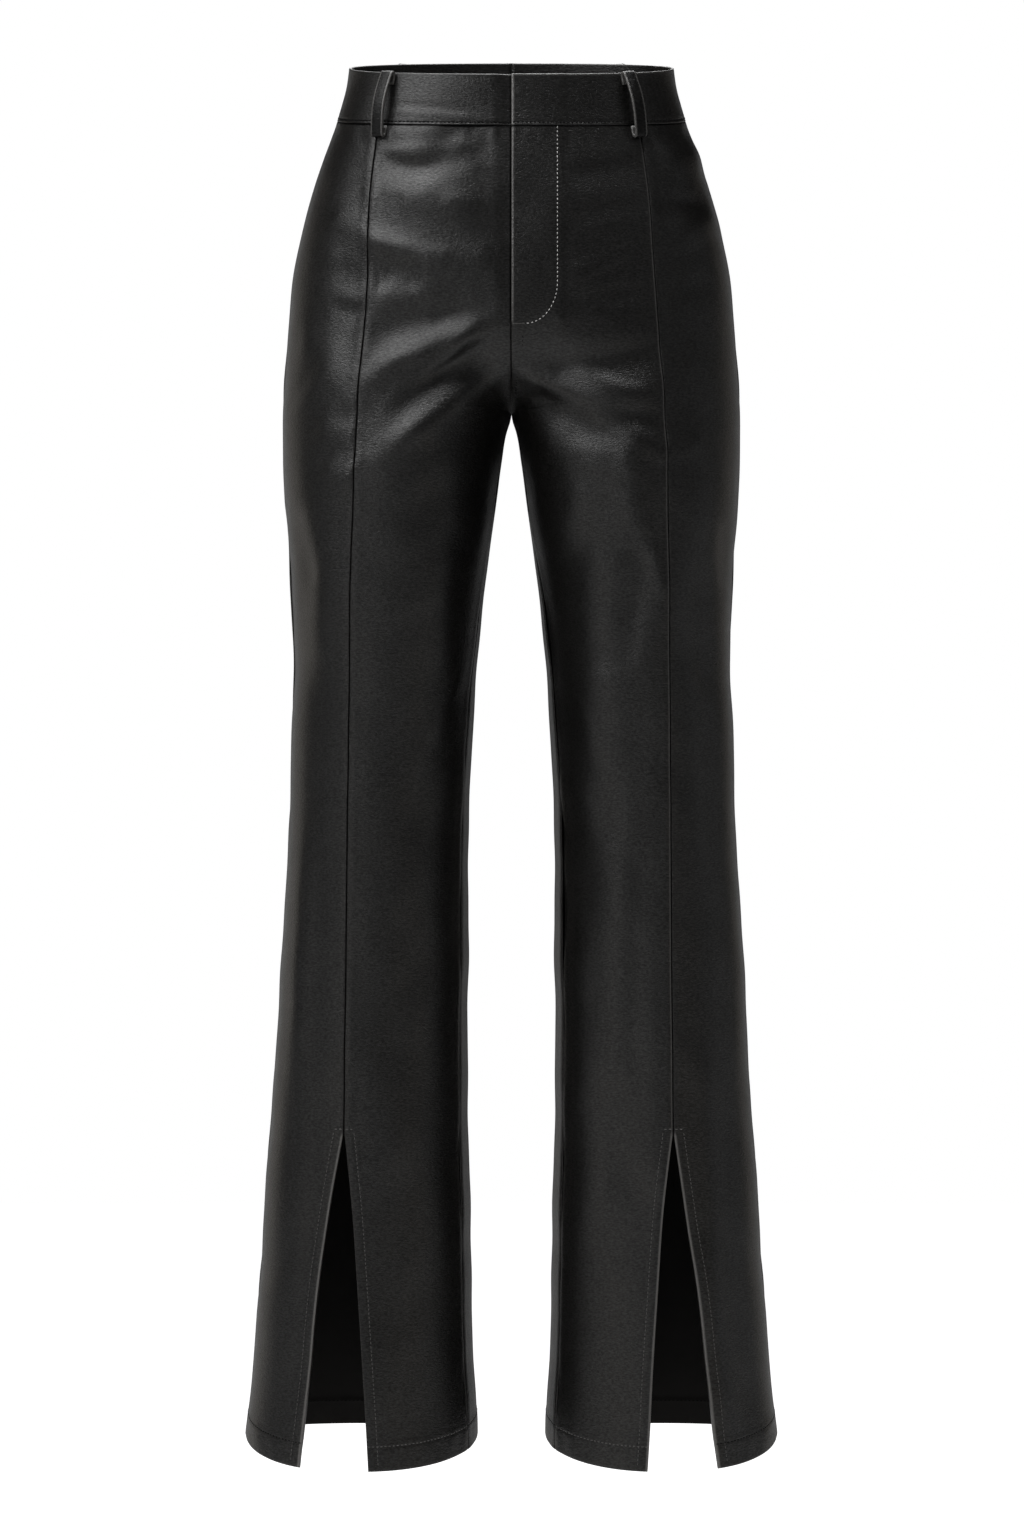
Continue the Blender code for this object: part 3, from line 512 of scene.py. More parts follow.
def curve(rows, column, down):
    """A smooth curve through one column of a table, read at each height."""
    knots, values = rows["down"], rows[column]
    slopes = np.gradient(values, knots)
    down = np.clip(down, knots[0], knots[-1])
    place = np.clip(np.searchsorted(knots, down) - 1, 0, len(knots) - 2)
    span = knots[place + 1] - knots[place]
    share = (down - knots[place]) / span
    rise = values[place + 1] - values[place]
    start = slopes[place] * span
    end = slopes[place + 1] * span
    bend = share * (1.0 - share) * ((1.0 - share) * (start - rise) - share * (end - rise))
    return values[place] + share * rise + bend


def ray(angle, power):
    """Distance to the edge of a rounded square of half size 1, along an angle."""
    return (np.abs(np.cos(angle)) ** power + np.abs(np.sin(angle)) ** power) ** (-1.0 / power)


def other_side(share, power):
    """The second coordinate of the point of that square whose first one is share."""
    return (1.0 - np.abs(share) ** power) ** (1.0 / power)


# ---------------------------------------------------------------- the smooth surface

def panel_edge(part, side, down):
    """Distance of the panel seam, or of this part's slit edge, from the middle."""
    seam = curve(PANEL_SEAM, side, down)
    slit = curve(SLIT, side + "_" + EDGE_COLUMN[part], down)
    return np.where(down < SLIT_TOP, seam, slit)


def leg_sizes(down):
    """Middle, half width, front depth, back depth and inseam angle of a leg."""
    outer = curve(OUTLINE, "outer", down)
    inner = curve(LEG, "inner", down)
    inseam = np.radians(curve(LEG, "inseam_degrees", down))
    front = curve(LEG, "front", down)
    back = curve(LEG, "back", down)
    return (outer + inner) / 2, (outer - inner) / 2, front, back, inseam


def angles(part, side, down, across):
    """The place's angle round the torso, from the centre front, and round the leg."""
    edge = panel_edge(part, side, down)
    torso_share = np.clip(edge / curve(OUTLINE, "outer", down), 0.0, 0.999)
    torso_edge = np.arctan2(torso_share, other_side(torso_share, TORSO_POWER))
    middle, half, _, _, inseam = leg_sizes(down)
    leg_share = np.clip((edge - middle) / half, -0.999, 0.999)
    leg_edge = np.arctan2(other_side(leg_share, LEG_POWER), -leg_share)
    if part == "front_centre":
        return across * torso_edge, inseam + across * (leg_edge - inseam)
    if part == "front_side":
        return (torso_edge + across * (QUARTER - torso_edge),
                leg_edge + across * (math.pi - leg_edge))
    return QUARTER * (1.0 + across), math.pi + across * (math.pi + inseam)


def from_middle(part, across):
    """0 at the centre front, the centre back and the inseams, 1 well away from them."""
    if part == "front_centre":
        return np.clip(np.abs(across), 0.0, 1.0)
    if part == "front_side":
        return np.ones_like(across)
    return np.clip(2.0 * np.abs(1.0 - across), 0.0, 1.0)


def leg_weight(part, down, across):
    """0 where the surface has the torso's shape, 1 where it has the leg's."""
    away = from_middle(part, across)
    end = CROTCH + (MERGE_END - CROTCH) * smooth(away)
    fall = 0.5 + 1.5 * smooth(away / 0.6)
    share = np.clip((down - CROTCH_START) / (end - CROTCH_START), 0.0, 1.0)
    return 1.0 - (1.0 - share ** 2) ** fall


def surface(part, side, down, across):
    """Points of the smooth surface."""
    round_torso, round_leg = angles(part, side, down, across)
    outer = curve(OUTLINE, "outer", down)
    depth = np.where(np.cos(round_torso) > 0, curve(TORSO, "front", down), curve(TORSO, "back", down))
    reach = ray(round_torso, TORSO_POWER)
    torso_x = outer * reach * np.sin(round_torso)
    torso_y = -depth * reach * np.cos(round_torso)

    middle, half, front, back, _ = leg_sizes(down)
    depth = np.where(np.sin(round_leg) > 0, front, back)
    reach = ray(round_leg, LEG_POWER)
    leg_x = middle - half * reach * np.cos(round_leg)
    leg_y = -depth * reach * np.sin(round_leg)

    weight = leg_weight(part, down, across)
    x = (1.0 - weight) * torso_x + weight * leg_x
    y = (1.0 - weight) * torso_y + weight * leg_y
    return np.stack([x, y, -down], axis=-1)


def normals(part, side, down, across):
    """Outward directions of the smooth surface."""
    small = 1e-3
    along = surface(part, side, down + small, across) - surface(part, side, down - small, across)
    round_it = surface(part, side, down, across + small) - surface(part, side, down, across - small)
    out = np.cross(along, round_it)
    return out / np.linalg.norm(out, axis=-1, keepdims=True)


def arc_lengths(part, side, down, samples=41):
    """For each height, the length of cloth from a part's first edge to a row of places across it."""
    across = np.linspace(0.0, 1.0, samples)
    down_grid = np.repeat(down[:, None], samples, axis=1)
    points = surface(part, side, down_grid, np.repeat(across[None, :], len(down), axis=0))
    steps = np.linalg.norm(np.diff(points, axis=1), axis=2)
    lengths = np.concatenate([np.zeros((len(down), 1)), np.cumsum(steps, axis=1)], axis=1)
    return across, lengths


# ---------------------------------------------------------------- relief on the cloth

def crease_relief(rows, face, x, down):
    """Height of the creases of one face."""
    relief = np.zeros_like(x)
    for row in range(len(rows["face"])):
        crease = {name: column[row] for name, column in rows.items()}
        if crease["face"] != face:
            continue
        run = np.array([crease["x_to"] - crease["x_from"], crease["down_to"] - crease["down_from"]])
        length = np.linalg.norm(run)
        run /= length
        off_x = x - crease["x_from"]
        off_down = down - crease["down_from"]
        share = (off_x * run[0] + off_down * run[1]) / length
        sideways = off_x * run[1] - off_down * run[0]
        sideways -= crease["bow"] * 4.0 * share * (1.0 - share)
        lean = crease["lean"] * np.sign(sideways * run[0])
        ends = smooth(share / 0.35 + 0.3) * smooth((1.0 - share) / 0.35 + 0.3)
        relief += crease["height"] * ends * bump(sideways, crease["width"] * (1.0 + lean))
    return relief


def wave_relief(part, x, down):
    """Shallow unevenness all over."""
    offset = 1.7 if part == "back" else 0.0
    relief = np.zeros_like(x)
    for row in range(len(WAVES["height"])):
        phase = (x * WAVES["per_metre_x"][row] + down * WAVES["per_metre_down"][row]) * 2.0 * math.pi
        relief += WAVES["height"][row] * np.sin(phase + WAVES["turn"][row] + offset)
    return relief * smooth((down - 0.05) / 0.05)


def lap_relief(part, side, x, line, sink):
    """The left front is raised at the fly and the right front passes under it."""
    if part != "front_centre":
        return np.zeros_like(x)
    fade = smooth(1.0 - (line - FLY_BOTTOM - 0.004) / FLY_FADE)
    if side == "left":
        return fade * LAP_RISE * smooth((LAP_WIDTH - x) / 0.006 + 1.0)
    return -fade * sink * smooth((UNDERLAP_EASE - x) / UNDERLAP_EASE)


def flare_relief(part, side, x, down):
    """The slit flaps splay outward towards the hem."""
    if part == "back":
        return np.zeros_like(x)
    edge = panel_edge(part, side, down)
    share = smooth((down - SLIT_TOP) / (HEM - SLIT_TOP))
    return FLARE_HEIGHT * share * bump(x - edge, FLARE_WIDTH)


def fade_at_crotch(part, line, across):
    """0 on the crotch seam, so that the two halves don't meet there, 1 elsewhere."""
    near = 1.0 - smooth(np.abs(line - CROTCH) / 0.085)
    return 1.0 - near * (1.0 - smooth(from_middle(part, across) / 0.14))


def rolled(distance, radius):
    """How far a rounded edge lies below the face, at a distance from the edge."""
    inside = np.clip(radius - distance, 0.0, radius)
    return radius - np.sqrt(radius * radius - inside * inside)


def slit_share(down):
    """0 above the slit, 1 below its top."""
    return smooth((down - SLIT_TOP) / 0.004)


def seam_relief(part, side, down, line, first, last):
    """Welts and grooves beside the seams, given the distances to the part's two edges."""
    welt = WELT_HEIGHT * (bump(first - WELT_PLACE, WELT_WIDTH) + bump(last - WELT_PLACE, WELT_WIDTH))
    if part == "front_centre":
        open_edge = last
        welt -= WELT_HEIGHT * bump(first - WELT_PLACE, WELT_WIDTH) * (line < FLY_BOTTOM)
    else:
        open_edge = first
    lap = part == "front_centre" and side == "left"
    relief = welt - rolled(last, ROLL)
    relief -= np.where(lap & (line < FLY_BOTTOM), rolled(first, LAP_ROLL), rolled(first, ROLL))
    if part != "back":
        slit = slit_share(down)
        relief += slit * (0.00030 * smooth((SLIT_TURN - open_edge) / 0.0015 + 1.0)
                          - CHANNEL_DEPTH * bump(open_edge - SLIT_STITCH, CHANNEL_WIDTH)
                          - WELT_HEIGHT * bump(open_edge - WELT_PLACE, WELT_WIDTH))
    return relief


def end_relief(x, line):
    """The waist seam's rolled edge, the hem's fold, its stitch line and its puckers."""
    above_hem = HEM - line
    relief = -rolled(line - WAIST_SEAM, TOP_ROLL) - rolled(above_hem, FOLD_ROLL)
    relief += 0.00030 * smooth((HEM_DEPTH - above_hem) / 0.0015 + 1.0)
    relief -= CHANNEL_DEPTH * bump(above_hem - HEM_STITCH, CHANNEL_WIDTH)
    waver = 0.35 * np.sin(x * 61.0) + 0.25 * np.sin(x * 143.0 + 1.0)
    pucker = np.sin(2.0 * math.pi * (x / HEM_PUCKER_LENGTH + waver))
    relief += HEM_PUCKER_HEIGHT * pucker * bump(above_hem - HEM_STITCH * 0.62, HEM_STITCH * 0.40)
    below_band = line - WAIST_SEAM
    gather = np.sin(2.0 * math.pi * (x / 0.0125 + 0.4 * np.sin(x * 50.0)))
    relief += 0.00016 * gather * bump(below_band - 0.006, 0.006)
    return relief


def fly_relief(part, side, x, down):
    """The channel of the curved fly stitching."""
    if part != "front_centre" or side != "left":
        return np.zeros_like(x)
    off = np.abs(x - FLY_STITCH_X)
    curve_x = (x - FLY_CURVE_END_X) / (FLY_STITCH_X - FLY_CURVE_END_X)
    curve_down = (down - FLY_CURVE_START) / (FLY_CURVE_END - FLY_CURVE_START)
    radius = np.sqrt(np.clip(curve_x, 0, None) ** 2 + np.clip(curve_down, 0, None) ** 2)
    in_curve = (down > FLY_CURVE_START) & (x > FLY_CURVE_END_X)
    off = np.where(in_curve, np.abs(radius - 1.0) * (FLY_STITCH_X - FLY_CURVE_END_X), off)
    off = np.where((down > FLY_CURVE_START) & ~in_curve, 1.0, off)
    return -0.00016 * bump(off, 0.0009)


def drop_of(part, side, line, across):
    """The real distance below the origin of a point on a height line."""
    round_it = 1.0 - from_middle(part, across)
    share = np.clip((line - CROTCH_START) / (CROTCH - CROTCH_START), 0.0, 1.0)
    curved = CROTCH_START + (CROTCH - CROTCH_START) * np.sin(QUARTER * share)
    inside = (line > CROTCH_START) & (line < CROTCH)
    down = np.where(inside, line + smooth(round_it) * (curved - line), line)
    y = surface(part, side, down, across)[..., 1]
    tilt = np.where(y < 0, curve(TILT, "front", line), curve(TILT, "back", line))
    return down - tilt * y


def cloth(part, side, down, across, line, first, last, band=False):
    """Outer points of the cloth, and the directions out of it.

    first and last are the distances to the part's two edges, and line is the height line.
    """
    base = surface(part, side, down, across)
    out = normals(part, side, down, across)
    x = np.abs(base[..., 0])
    face = -1 if part == "back" else 1
    if band:
        relief = lap_relief(part, side, base[..., 0], line, BAND_SINK) + BAND_PROUD
        if side == "right":
            relief = relief + crease_relief(BAND_CREASE_ROWS, face, x, down)
        return base + out * relief[..., None], out
    relief = crease_relief(CREASES[side], face, x, down) + wave_relief(part, x, down)
    relief *= fade_at_crotch(part, line, across)
    relief += flare_relief(part, side, x, down)
    relief += lap_relief(part, side, base[..., 0], line, UNDERLAP_SINK)
    relief += seam_relief(part, side, down, line, first, last)
    relief += end_relief(x, line)
    relief += fly_relief(part, side, x, down)
    return base + out * relief[..., None], out


# ---------------------------------------------------------------- meshes

def to_side(points, side):
    """Mirrors the wearer's right half."""
    return points * np.array([SIGN[side], 1.0, 1.0])


def add_piece(name, points, faces, materials, face_materials=None, attributes=None):
    """A mesh object, shaded smooth, with its faces pointing out."""
    mesh = bpy.data.meshes.new(name)
    mesh.from_pydata([tuple(point) for point in points], [], faces)
    for material in materials:
        mesh.materials.append(material)
    if face_materials is not None:
        mesh.polygons.foreach_set("material_index", face_materials)
    for label, values in (attributes or {}).items():
        layer = mesh.attributes.new(label, "FLOAT", "POINT")
        layer.data.foreach_set("value", np.asarray(values, dtype=np.float32))
    shape = bmesh.new()
    shape.from_mesh(mesh)
    loose = [vertex for vertex in shape.verts if not vertex.link_faces]
    bmesh.ops.delete(shape, geom=loose, context="VERTS")
    bmesh.ops.recalc_face_normals(shape, faces=shape.faces)
    shape.to_mesh(mesh)
    shape.free()
    mesh.shade_smooth()
    piece = bpy.data.objects.new(name, mesh)
    bpy.context.scene.collection.objects.link(piece)
    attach(piece, "root")
    return piece


def add_shell(name, outer, inner, kept, materials, seams, edges):
    """A closed thin shell between two grids; its inner faces take the second material."""
    rows, columns = outer.shape[:2]
    count = rows * columns
    points = np.concatenate([outer.reshape(count, 3), inner.reshape(count, 3)])

    def is_kept(row, column):
        return 0 <= row < rows - 1 and 0 <= column < columns - 1 and kept[row, column]

    faces, face_materials = [], []
    for row in range(rows - 1):
        for column in range(columns - 1):
            if not kept[row, column]:
                continue
            ring = [(row, column), (row + 1, column), (row + 1, column + 1), (row, column + 1)]
            places = [a * columns + b for a, b in ring]
            faces.append(places)
            face_materials.append(0)
            faces.append([count + place for place in reversed(places)])
            face_materials.append(1)
            next_cells = [(row, column - 1), (row + 1, column), (row, column + 1), (row - 1, column)]
            for step, next_cell in enumerate(next_cells):
                if not is_kept(*next_cell):
                    start, end = places[step], places[(step + 1) % 4]
                    faces.append([end, start, count + start, count + end])
                    face_materials.append(0)
    # The edge layer holds painted highlights over 0 and painted shade under 0.
    layers = {"seam": seams, "edge": edges}
    layers = {label: np.concatenate([layer.ravel(), np.zeros(count)]) for label, layer in layers.items()}
    return add_piece(name, points, faces, materials, face_materials, layers)


def height_lines():
    """Rows from the waist seam to the hem, close together at both ends and at the hem's stitches."""
    top = WAIST_SEAM + HALF_GAP + np.array(EDGE_COLUMNS)
    low = HEM - np.array([0.0, 0.0003, 0.0007, 0.0013, 0.0022, 0.0040, 0.0062, 0.0085, 0.0108, 0.0130,
                          0.0148, 0.0160, 0.0170, 0.0178, 0.0186, 0.0196, 0.0210, 0.0230])
    steps = int(round((low[-1] - top[-1]) / ROW_STEP))
    middle = np.linspace(top[-1], low[-1], steps + 1)[1:-1]
    return np.concatenate([top, middle, low[::-1]])


def fine_columns(part, side, down, slit_edge):
    """Places across a part for each row: close together beside its edges, even between them."""
    across, lengths = arc_lengths(part, side, down)
    total = lengths[:, -1]
    first = np.array(SLIT_COLUMNS if slit_edge == "first" else EDGE_COLUMNS)
    last = np.array(SLIT_COLUMNS if slit_edge == "last" else EDGE_COLUMNS)
    start, end = first[-1], last[-1]
    inner = np.linspace(0.0, 1.0, INNER_COLUMNS[part] + 1)[1:-1]
    rows = []
    for row in range(len(down)):
        free = total[row] - start - end - SEAM_GAP
        scale = min(1.0, max(0.2, free / 0.02))
        middle = start * scale + inner * (total[row] - SEAM_GAP - (start + end) * scale)
        distances = np.concatenate([first * scale, middle, total[row] - SEAM_GAP - last[::-1] * scale])
        rows.append(np.interp(distances + HALF_GAP, lengths[row], across))
    return np.array(rows)


def edge_distances(part, side, down, across):
    """Distances along the cloth to a part's two edges."""
    places, lengths = arc_lengths(part, side, down[:, 0])
    first = np.array([np.interp(across[row], places, lengths[row]) for row in range(len(down))])
    return np.abs(first), np.abs(lengths[:, -1:] - first)


def seam_nearness(line, first, last):
    """1 beside a seam or an edge, 0 away from it."""
    near = np.maximum(bump(first, 0.0085), bump(last, 0.0085))
    near = np.maximum(near, 0.6 * bump(line - WAIST_SEAM, 0.008))
    return np.maximum(near, bump(HEM - line - 0.010, 0.012))


def painted_edge_highlight(distance):
    """1 along a turned edge, where a highlight is painted, 0 away from it."""
    return smooth((HIGHLIGHT_REACH - distance) / HIGHLIGHT_FADE)


def shaded_gap(distance):
    """-1 in the groove of a seam, where shade is painted, 0 away from it."""
    return -smooth((GROOVE_SHADE_REACH - distance) / GROOVE_SHADE_FADE)


def panel_painted_light(part, side, line, down, first, last):
    """Painted highlight along a panel's edges, most at the slit and the fly, and painted shade, below 0, in
    the grooves.
    """
    lap = (line < FLY_BOTTOM) & (part == "front_centre") & (side == "left")
    painted_light = 0.5 * painted_edge_highlight(first) * lap
    # Painted shade in the groove under the waistband and, above the slit, beside the panel seam.
    groove = shaded_gap(line - WAIST_SEAM - HALF_GAP)
    if part != "back":
        edge = last if part == "front_centre" else first
        seam = SEAM_HIGHLIGHT if part == "front_centre" else 0.0
        open_slit = slit_share(down)
        painted_light = np.maximum(painted_light, painted_edge_highlight(edge) * (seam + (1.0 - seam) * open_slit))
        groove = np.minimum(groove, 0.8 * shaded_gap(edge + 0.0003) * (1.0 - open_slit))
    return np.where(groove < -0.02, groove, painted_light)


def inner_offset(part, line, first, last, down):
    """How far the inner face lies below the outer one: more where an edge is turned in."""
    hem = smooth((line - HEM + HEM_DEPTH) / 0.0012 + 1.0)
    turned = hem
    if part != "back":
        edge = last if part == "front_centre" else first
        turned = np.maximum(hem, slit_share(down) * smooth((SLIT_TURN - edge) / 0.0012 + 1.0))
    return WALL + TURNED * turned


def keep_off_middle(points, first):
    """Keeps a half garment on its own side from column first on, just closed where the halves are sewn."""
    kept = points.copy()
    x = np.maximum(points[:, first:, 0], HALF_GAP)
    kept[:, first:, 0] = np.where(x < 1.6 * HALF_GAP, -MIDDLE_LAP, x)
    return kept


def add_panel(part, side, materials):
    """One panel's shell."""
    lines = height_lines()
    slit_edge = {"front_centre": "last", "front_side": "first"}.get(part, "none")
    columns = fine_columns(part, side, lines, slit_edge)
    underlap = part == "front_centre" and side == "right"
    if underlap:
        passed = np.tile(np.linspace(-UNDERLAP, 0.0, LAP_COLUMNS + 1)[:-1], (len(lines), 1))
        columns = np.concatenate([passed, columns], axis=1)
    line_grid = np.repeat(lines[:, None], columns.shape[1], axis=1)
    down = drop_of(part, side, line_grid, columns)
    first, last = edge_distances(part, side, line_grid, columns)
    if underlap:
        first[:, :LAP_COLUMNS] = AWAY
        fly = (line_grid < FLY_BOTTOM) & (first < AWAY)
        first = np.where(fly, AWAY, first)
    outer, out = cloth(part, side, down, columns, line_grid, first, last)
    depth = inner_offset(part, line_grid, first, last, down)
    fold = rolled(HEM - line_grid, FOLD_ROLL)
    base_drop = np.maximum(rolled(first, ROLL), rolled(last, ROLL))
    inner = outer - out * (depth - 1.6 * fold - 0.7 * base_drop)[..., None]
    start = LAP_COLUMNS if underlap else 0
    outer = keep_off_middle(outer, start)
    inner = keep_off_middle(inner, start)
    kept = np.ones((len(lines) - 1, columns.shape[1] - 1), dtype=bool)
    if underlap:
        kept[lines[1:] > FLY_BOTTOM + 0.002, :LAP_COLUMNS] = False
    seams = seam_nearness(line_grid, first, last)
    # Painted highlight along the turned edges, painted shade in the grooves and, on the underlap, beside the
    # fly's lap edge.
    edges = panel_painted_light(part, side, line_grid, down, first, last)
    if underlap:
        edges = np.minimum(edges, shaded_gap(outer[..., 0] - 0.0006) * (line_grid < FLY_BOTTOM))
    name = f"leather_{part}_{side}"
    return add_shell(name, to_side(outer, side), to_side(inner, side), kept, materials, seams, edges)


def add_waistband(side, materials):
    """Half the waistband's shell, with a rounded rim and a rolled lower edge."""
    lines = np.array(BAND_LINES)
    outers, inners, LAP_COLUMNS = [], [], 8
    for part in PARTS:
        even = np.linspace(0.0, 1.0, BAND_COLUMNS[part] + 1)
        if part != "front_centre":
            even = even[1:]
        elif side == "left":
            even = np.concatenate([[0.0, 0.0025, 0.006, 0.011, 0.017, 0.028], even[2:]])
        else:
            even = np.concatenate([np.linspace(-UNDERLAP, 0.0, LAP_COLUMNS + 1)[:-1], even])
        columns = np.tile(even, (len(lines), 1))
        line_grid = np.repeat(lines[:, None], len(even), axis=1)
        down = drop_of(part, side, line_grid, columns)
        outer, out = cloth(part, side, down, columns, line_grid, None, None, band=True)
        rim = rolled(line_grid, RIM_ROLL)
        if part == "front_centre" and side == "left":
            rim = np.maximum(rim, rolled(outer[..., 0], LAP_ROLL))
        low = rolled(WAIST_SEAM - HALF_GAP - line_grid, ROLL)
        stitch = CHANNEL_DEPTH * bump(WAIST_SEAM - line_grid - BAND_STITCH, CHANNEL_WIDTH)
        inners.append(outer - out * (BAND_WALL - rim)[..., None])
        outers.append(outer - out * (rim + low + stitch)[..., None])
    outer = np.concatenate(outers, axis=1)
    inner = np.concatenate(inners, axis=1)
    start = LAP_COLUMNS if side == "right" else 0
    outer = keep_off_middle(outer, start)
    inner = keep_off_middle(inner, start)
    kept = np.ones((outer.shape[0] - 1, outer.shape[1] - 1), dtype=bool)
    seams = 0.8 * bump(WAIST_SEAM - np.repeat(lines[:, None], outer.shape[1], axis=1), 0.006)
    line_grid = np.repeat(lines[:, None], outer.shape[1], axis=1)
    above_seam = WAIST_SEAM - line_grid
    # Painted highlight along the rim, painted shade in the waist seam's groove and along the stitch row.
    edges = 0.25 * painted_edge_highlight(line_grid) + shaded_gap(above_seam)
    edges += 0.9 * shaded_gap(np.abs(above_seam - BAND_STITCH) + 0.0002)
    # Painted shade on the right band beside the left band's lap edge, and a painted highlight along that
    # edge.
    if side == "right":
        edges = np.minimum(edges, shaded_gap(outer[..., 0] - 0.0006))
    if side == "left":
        edges = np.maximum(edges, 0.8 * painted_edge_highlight(outer[..., 0]) * (outer[..., 1] < 0.0))
    name = f"leather_waistband_{side}"
    return add_shell(name, to_side(outer, side), to_side(inner, side), kept, materials, seams, edges)


# ---------------------------------------------------------------- places for sewing

def front_place(side, x, down, band=False):
    """Points and directions of the centre front cloth at given distances from the middle."""
    return face_place("front_centre", side, x, down, band)


def face_place(part, side, x, down, band=False):
    """Points and directions of the cloth at given distances from the middle and heights."""
    samples = np.linspace(0.0, 1.0, 121)
    across = []
    for one_x, one_down in zip(x, down):
        row = surface(part, side, np.full(samples.shape, one_down), samples)[:, 0]
        order = np.argsort(row)
        across.append(np.interp(one_x, row[order], samples[order]))
    across = np.array(across)[:, None]
    down = np.asarray(down)[:, None]
    first, last = edge_distances(part, side, down, across)
    points, out = cloth(part, side, down, across, down, first, last, band)
    return to_side(points[:, 0], side), to_side(out[:, 0], side)


def line_place(part, side, line, across, inside=False, band=False):
    """Points and directions along height lines."""
    line = np.asarray(line, dtype=float)[:, None]
    across = np.asarray(across, dtype=float)[:, None]
    down = drop_of(part, side, line, across)
    first, last = edge_distances(part, side, line, across)
    points, out = cloth(part, side, down, across, line, first, last, band)
    if inside:
        depth = inner_offset(part, line, first, last, down)
        points = points - out * depth[..., None]
        out = -out
    return to_side(points[:, 0], side), to_side(out[:, 0], side)


def respace(points, out, pitch):
    """Evenly spaced places along a path, with their directions."""
    steps = np.linalg.norm(np.diff(points, axis=0), axis=1)
    lengths = np.concatenate([[0.0], np.cumsum(steps)])
    count = max(2, int(lengths[-1] / pitch))
    wanted = (np.arange(count) + 0.5) * lengths[-1] / count

    def read(values, where):
        return np.stack([np.interp(where, lengths, values[:, axis]) for axis in range(3)], axis=1)

    run = read(points, wanted + pitch * RUN_REACH) - read(points, wanted - pitch * RUN_REACH)
    run /= np.linalg.norm(run, axis=1, keepdims=True)
    away = read(out, wanted)
    return read(points, wanted), run, away / np.linalg.norm(away, axis=1, keepdims=True)


STITCH_RINGS = ((-0.50, 0.30, -0.5), (-0.22, 1.00, 0.55), (0.22, 1.00, 0.55), (0.50, 0.30, -0.5))
STITCH_SIDES = 5


def stitch_meshes(paths, pitch, length=STITCH_LENGTH, width=STITCH_WIDTH):
    """Points and faces of one short bent thread for each stitch along the paths."""
    points, faces = [], []
    for path_points, path_out in paths:
        for place, run, away in zip(*respace(path_points, path_out, pitch)):
            beside = np.cross(run, away)
            base = len(points)
            for along, scale, lift in STITCH_RINGS:
                middle = place + run * along * length + away * lift * STITCH_HEIGHT
                for corner in range(STITCH_SIDES):
                    turn = 2.0 * math.pi * corner / STITCH_SIDES
                    ring = beside * math.cos(turn) * width / 2 + away * math.sin(turn) * STITCH_HEIGHT / 2
                    points.append(middle + ring * scale)
            for ring in range(len(STITCH_RINGS) - 1):
                for corner in range(STITCH_SIDES):
                    after = (corner + 1) % STITCH_SIDES
                    low, high = base + ring * STITCH_SIDES, base + (ring + 1) * STITCH_SIDES
                    faces.append([low + corner, low + after, high + after, high + corner])
            faces.append([base + corner for corner in reversed(range(STITCH_SIDES))])
            last = base + (len(STITCH_RINGS) - 1) * STITCH_SIDES
            faces.append([last + corner for corner in range(STITCH_SIDES)])
    return points, faces


def add_stitches(name, paths, material, pitch=STITCH_PITCH, slot="faux_leather", **sizes):
    """One joined mesh of stitches."""
    points, faces = stitch_meshes(paths, pitch, **sizes)
    piece = add_piece(name, points, faces, [material])
    return piece


def waist_paths(side):
    """Topstitching along the waistband's lower edge."""
    paths = []
    for part in PARTS:
        across = np.linspace(0.004, 0.996, 90)
        line = np.full(across.shape, WAIST_SEAM - BAND_STITCH)
        points, out = line_place(part, side, line, across, band=True)
        paths.append((points - out * CHANNEL_DEPTH, out))
    return paths


def hem_paths(part, side, inside=False):
    """Stitching round the hem, between the slit's own stitch lines."""
    across = np.linspace(0.003, 0.997, 120)
    line = np.full(across.shape, HEM - HEM_STITCH)
    return [line_place(part, side, line, across, inside)]


def slit_paths(part, side):
    """Stitching along one slit edge, from a little above the slit's end to the hem."""
    line = np.linspace(SLIT_TOP - 0.001, HEM - 0.004, 120)
    across, lengths = arc_lengths(part, side, line)
    from_edge = np.full(len(line), SLIT_STITCH)
    wanted = lengths[:, -1] - from_edge if part == "front_centre" else from_edge
    places = [np.interp(wanted[row], lengths[row], across) for row in range(len(line))]
    return [line_place(part, side, line, places)]


def slit_bar_paths(part, side):
    """The short row across the top of a slit, on one side of the seam."""
    down = np.full(9, SLIT_TOP - 0.0012)
    edge = curve(PANEL_SEAM, side, down)
    towards = -1.0 if part == "front_centre" else 1.0
    x = edge + towards * np.linspace(0.0006, SLIT_STITCH, 9)
    return [face_place(part, side, x, down)]


def fly_paths():
    """The curved row that holds the fly's facing."""
    straight_down = np.linspace(WAIST_SEAM + 0.012, FLY_CURVE_START, 50)
    turn = np.linspace(0.0, QUARTER, 30)[1:]
    x = np.concatenate([np.full(50, FLY_STITCH_X),
                        FLY_CURVE_END_X + (FLY_STITCH_X - FLY_CURVE_END_X) * np.cos(turn)])
    down = np.concatenate([straight_down,
                           FLY_CURVE_START + (FLY_CURVE_END - FLY_CURVE_START) * np.sin(turn)])
    return [front_place("left", x, down)]


def crotch_paths():
    """Topstitching beside the centre front seam, below the fly."""
    down = np.linspace(FLY_CURVE_END + 0.008, CROTCH - 0.012, 40)
    x = 0.0085 - 0.0050 * smooth((down - down[0]) / (down[-1] - down[0]))
    return [front_place("left", x, down)]


def bartack_paths():
    """A dense bar at the bottom of the fly."""
    x = np.linspace(0.0008, 0.0098, 12)
    paths = []
    for row in range(2):
        down = np.full(12, FLY_CURVE_END - 0.0002 + row * 0.0004)
        paths.append(front_place("left", x, down))
    return paths


# ---------------------------------------------------------------- belt loops

